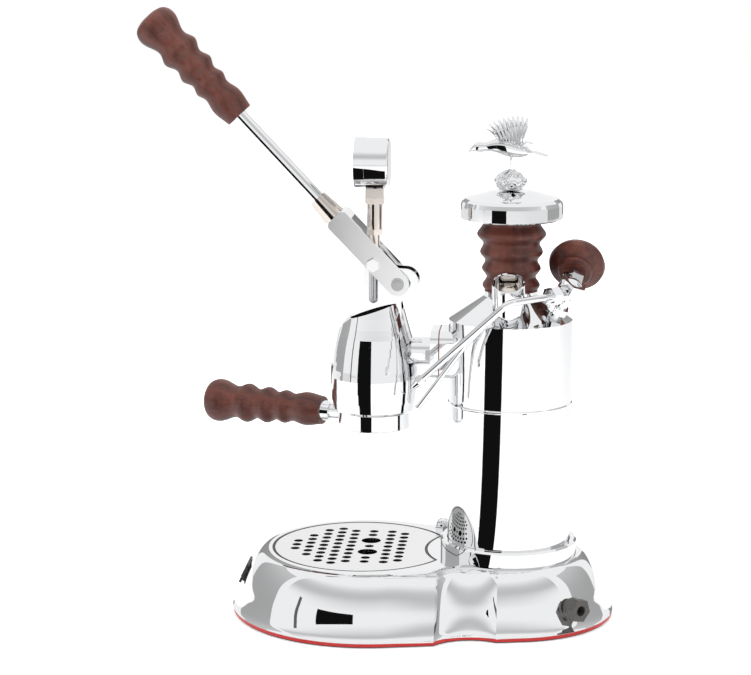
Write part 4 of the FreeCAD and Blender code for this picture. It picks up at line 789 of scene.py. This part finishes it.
# ---- Portafilter ----
# A plated ring with lugs that hold it under the group, and a steel basket inside.
# A short arm and ferrule carry a turned grip like the lever's.
paint_node("portafilter_body", chrome)
paint_node("portafilter_ferrule", chrome)
low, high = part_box("portafilter_handle")
handle_line = (-math.sin(math.radians(19)), -math.cos(math.radians(19)), 0)
paint_node("portafilter_handle", wood("portafilter_wood", (low + high) / 2, handle_line))
paint_node("filter_basket", steel)
paint_node("basket_spring", steel)


# ---- Filler cap ----
# A turned wooden collar under a heavy plated disc.
# Both sit on a brass insert that screws into the neck of the boiler.
paint_node("cap_gasket", seal)
paint_node("cap_insert", brass)
low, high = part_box("cap_collar")
paint_node("cap_collar", wood("collar_wood", (low + high) / 2, (0, 0, 1)))
paint_node("cap_disc", chrome)


# ---- Finial ----
# A cast and plated bird with raised wings, on a rock above a hexagonal foot.
# It is screwed on the middle of the cap disc and turns with it.
cap_top, bird_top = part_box("cap_disc")[1].z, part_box("cap_finial")[1].z


def lofted(work, sections, around=14):
    """Closed body through (centre, across, up, tip) sections that face along Y."""
    rings = []
    for centre, across, up, tip in sections:
        ring = []
        for k in range(around):
            angle = 2 * math.pi * k / around
            x, u = across * math.cos(angle), up * math.sin(angle)
            place = (centre[0] + x, centre[1] + u * math.sin(tip), centre[2] + u * math.cos(tip))
            ring.append(work.verts.new(place))
        rings.append(ring)
    for low, high in zip(rings, rings[1:]):
        for k in range(around):
            work.faces.new((low[k - 1], low[k], high[k], high[k - 1]))
    work.faces.new(rings[0])
    work.faces.new(list(reversed(rings[-1])))


def feather(work, root, tip, width, thick, bow):
    """Slim pointed blade from root to tip, bowed upwards, with a raised shaft."""
    root, tip = Vector(root), Vector(tip)
    line = tip - root
    side = line.cross(Vector((0, 0, 1)))
    side = (side if side.length > 1e-5 else Vector((1, 0, 0))).normalized()
    over = side.cross(line).normalized()
    rings = []
    for t, spread in ((0.0, 0.55), (0.2, 0.9), (0.5, 1.0), (0.75, 0.85), (0.92, 0.5), (1.0, 0.12)):
        middle = root + line * t + over * bow * math.sin(math.pi * t)
        half = width / 2 * spread
        ring = [middle + side * half, middle + side * half * 0.4 + over * thick * 0.5,
                middle + over * thick, middle - side * half * 0.4 + over * thick * 0.5,
                middle - side * half, middle - over * thick * 0.4]
        rings.append([work.verts.new(p) for p in ring])
    for low, high in zip(rings, rings[1:]):
        for k in range(6):
            work.faces.new((low[k - 1], low[k], high[k], high[k - 1]))
    work.faces.new(rings[0])
    work.faces.new(list(reversed(rings[-1])))


def bird_point(x, y, down):
    """Point of the bird in metres from millimetres: across, along from the boiler axis, below the top."""
    return (x * 0.001, boiler_y + y * 0.001, bird_top - down * 0.001)


work = bmesh.new()
spine = ((13, 25, 2.6, 2.2), (9, 25.0, 4.2, 3.6), (4, 23.8, 6.4, 6.0), (-2, 22.0, 7.4, 7.6),
         (-8, 20.8, 6.8, 6.6),
         (-13, 20.8, 4.9, 4.8), (-17, 21.4, 3.6, 3.6), (-20.5, 22.0, 3.5, 3.5), (-23.5, 21.8, 4.1, 4.1),
         (-26.5, 22.2, 3.6, 3.5), (-28.6, 23.0, 2.0, 2.0), (-30.4, 24.2, 1.1, 1.3), (-31.4, 25.6, 0.4, 0.5))
lofted(work, [(bird_point(0, y, down), across * 0.001, up * 0.001, 0.0) for y, down, across, up in spine])
leg_sections = ((3.4, -1, 26, 2.9, 3.4), (3.6, -0.6, 31, 2.6, 2.6),
                (3.4, -1.4, 36.5, 1.5, 1.6), (3.6, -2.5, 39.5, 1.4, 1.2))
for side in (-1, 1):
    for k in range(9):
        share = k / 8
        root = bird_point(side * 4.2, -9 + 17 * share, 17.5 + 2.5 * share)
        tip = bird_point(side * (19.6 - 3.5 * share), -18.5 + 28.5 * share, 7.0 - 6.2 * math.sin(2.2 * share))
        feather(work, root, tip, 0.0052, 0.0011, 0.0016)
    for k in range(7):
        share = k / 6
        root = bird_point(side * 4.6, -8 + 13 * share, 16.6 + 2.0 * share)
        tip = bird_point(side * (12.5 - 1.5 * share), -14 + 20 * share, 9.5 - 3.0 * math.sin(2.2 * share))
        feather(work, root, tip, 0.0046, 0.0013, 0.0013)
    lofted(work, [(bird_point(side * x, y, down), across * 0.001, up * 0.001, 0.3)
                  for x, y, down, across, up in leg_sections])
    for toe in (-1, 0, 1):
        heel, claw = bird_point(side * 3.4, -1.5, 39.0), bird_point(side * 3.6 + toe * 2.4, -7.5, 41.0)
        feather(work, heel, claw, 0.0019, 0.0008, 0.0008)
for k in range(7):
    spread = (k - 3) / 3
    root = bird_point(spread * 2.2, 8, 24.0 + abs(spread))
    tip = bird_point(spread * 6.0, 25.6 - 1.5 * abs(spread), 28.0)
    feather(work, root, tip, 0.0040, 0.0010, 0.0010)
for row in range(5):
    for k in range(-2, 3):
        y, down = -10 + 4.6 * row, 15.2 + 0.7 * row
        across = 2.5 * k
        drop = 0.22 * across * across
        root = bird_point(across, y, down + drop * 0.55)
        tip = bird_point(across * 1.15, y + 6.0, down + 1.0 + drop * 0.6)
        feather(work, root, tip, 0.0030, 0.0006, 0.0005)
for k in range(8):
    sine, cosine = math.sin(2 * math.pi * k / 8), math.cos(2 * math.pi * k / 8)
    root = bird_point(sine * 3.0, -15.5, 21 - cosine * 3.0)
    tip = bird_point(sine * 4.6, -10.5, 21 - cosine * 4.6)
    feather(work, root, tip, 0.0026, 0.0006, 0.0003)
eye_marks = [(side * 2.9, -25.3, 21.0) for side in (-1, 1)]
for x, y, down in eye_marks:
    ball = bmesh.ops.create_icosphere(work, subdivisions=2, radius=0.0010)
    bmesh.ops.translate(work, verts=ball["verts"], vec=bird_point(x, y, down))
foot_y = boiler_y - 0.001
rock = bmesh.ops.create_icosphere(work, subdivisions=4, radius=1.0)
for vert in rock["verts"]:
    p = vert.co.copy()
    crag = 1.0 + 0.13 * math.sin(7.0 * p.x + 3.0 * p.z) * math.cos(6.0 * p.y - 2.0 * p.z)
    crag += 0.05 * math.sin(17 * p.x + 13 * p.y)
    flare = 0.0112 if p.z < 0 else 0.0112 - 0.0045 * p.z
    rise = cap_top + 0.0075 + p.z * 0.0078 * crag
    vert.co = Vector((p.x * flare * crag, foot_y + p.y * flare * crag, rise))
for vert in rock["verts"]:
    vert.co.z = max(vert.co.z, cap_top + 0.0012)
foot_corner = 0.010 / math.cos(math.radians(30))
corners = [math.radians(60 * k) for k in range(6)]
hexagon = [(foot_corner * math.cos(corner), foot_y + foot_corner * math.sin(corner)) for corner in corners]
low_ring = [work.verts.new((x, y, cap_top)) for x, y in hexagon]
top_ring = [work.verts.new((x, y, cap_top + 0.0024)) for x, y in hexagon]
for k in range(6):
    work.faces.new((low_ring[k - 1], low_ring[k], top_ring[k], top_ring[k - 1]))
work.faces.new(list(reversed(low_ring)))
work.faces.new(top_ring)
bmesh.ops.recalc_face_normals(work, faces=work.faces)
bird_mesh = bpy.data.meshes.new("bird")
work.to_mesh(bird_mesh)
work.free()
holder = bpy.data.objects.new("bird_work", bird_mesh)
scene.collection.objects.link(holder)
soften = holder.modifiers.new("soften", "SUBSURF")
soften.levels = soften.render_levels = 2
cast_metal = metal("cast_chrome", (0.82, 0.825, 0.835), 0.05, 0.05, 0.9, 60.0)
place_piece("bird_finial", finished_mesh(holder), cast_metal, "cap_finial", angle=60.0)


# ---- Steam tap and wand ----
# A forged valve body on the shoulder of the boiler, with a turned wooden knob.
# A bent and plated wand hangs from it on a swivel nut.
for node in ("steam_valve_body", "wand_nut", "steam_wand"):
    paint_node(node, chrome)
paint_node("steam_stem", steel)
low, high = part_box("steam_knob")
paint_node("steam_knob", wood("knob_wood", (low + high) / 2, (-0.887, 0.144, 0.438)))


# ---- Safety valve ----
# A plated cup on a threaded stem, with a sprung nickel plug.
# A thin plated pipe leads from it towards the tray.
paint_node("safety_valve_body", chrome)
paint_node("safety_poppet", nickel)
paint_node("relief_pipe", chrome)


# ---- Sight glass ----
# A glass tube between two plated fittings on the far side.
# A slotted and plated guard stands round it.
for node in ("sight_fittings", "sight_guard"):
    paint_node(node, chrome)
paint_node("sight_tube", glass)
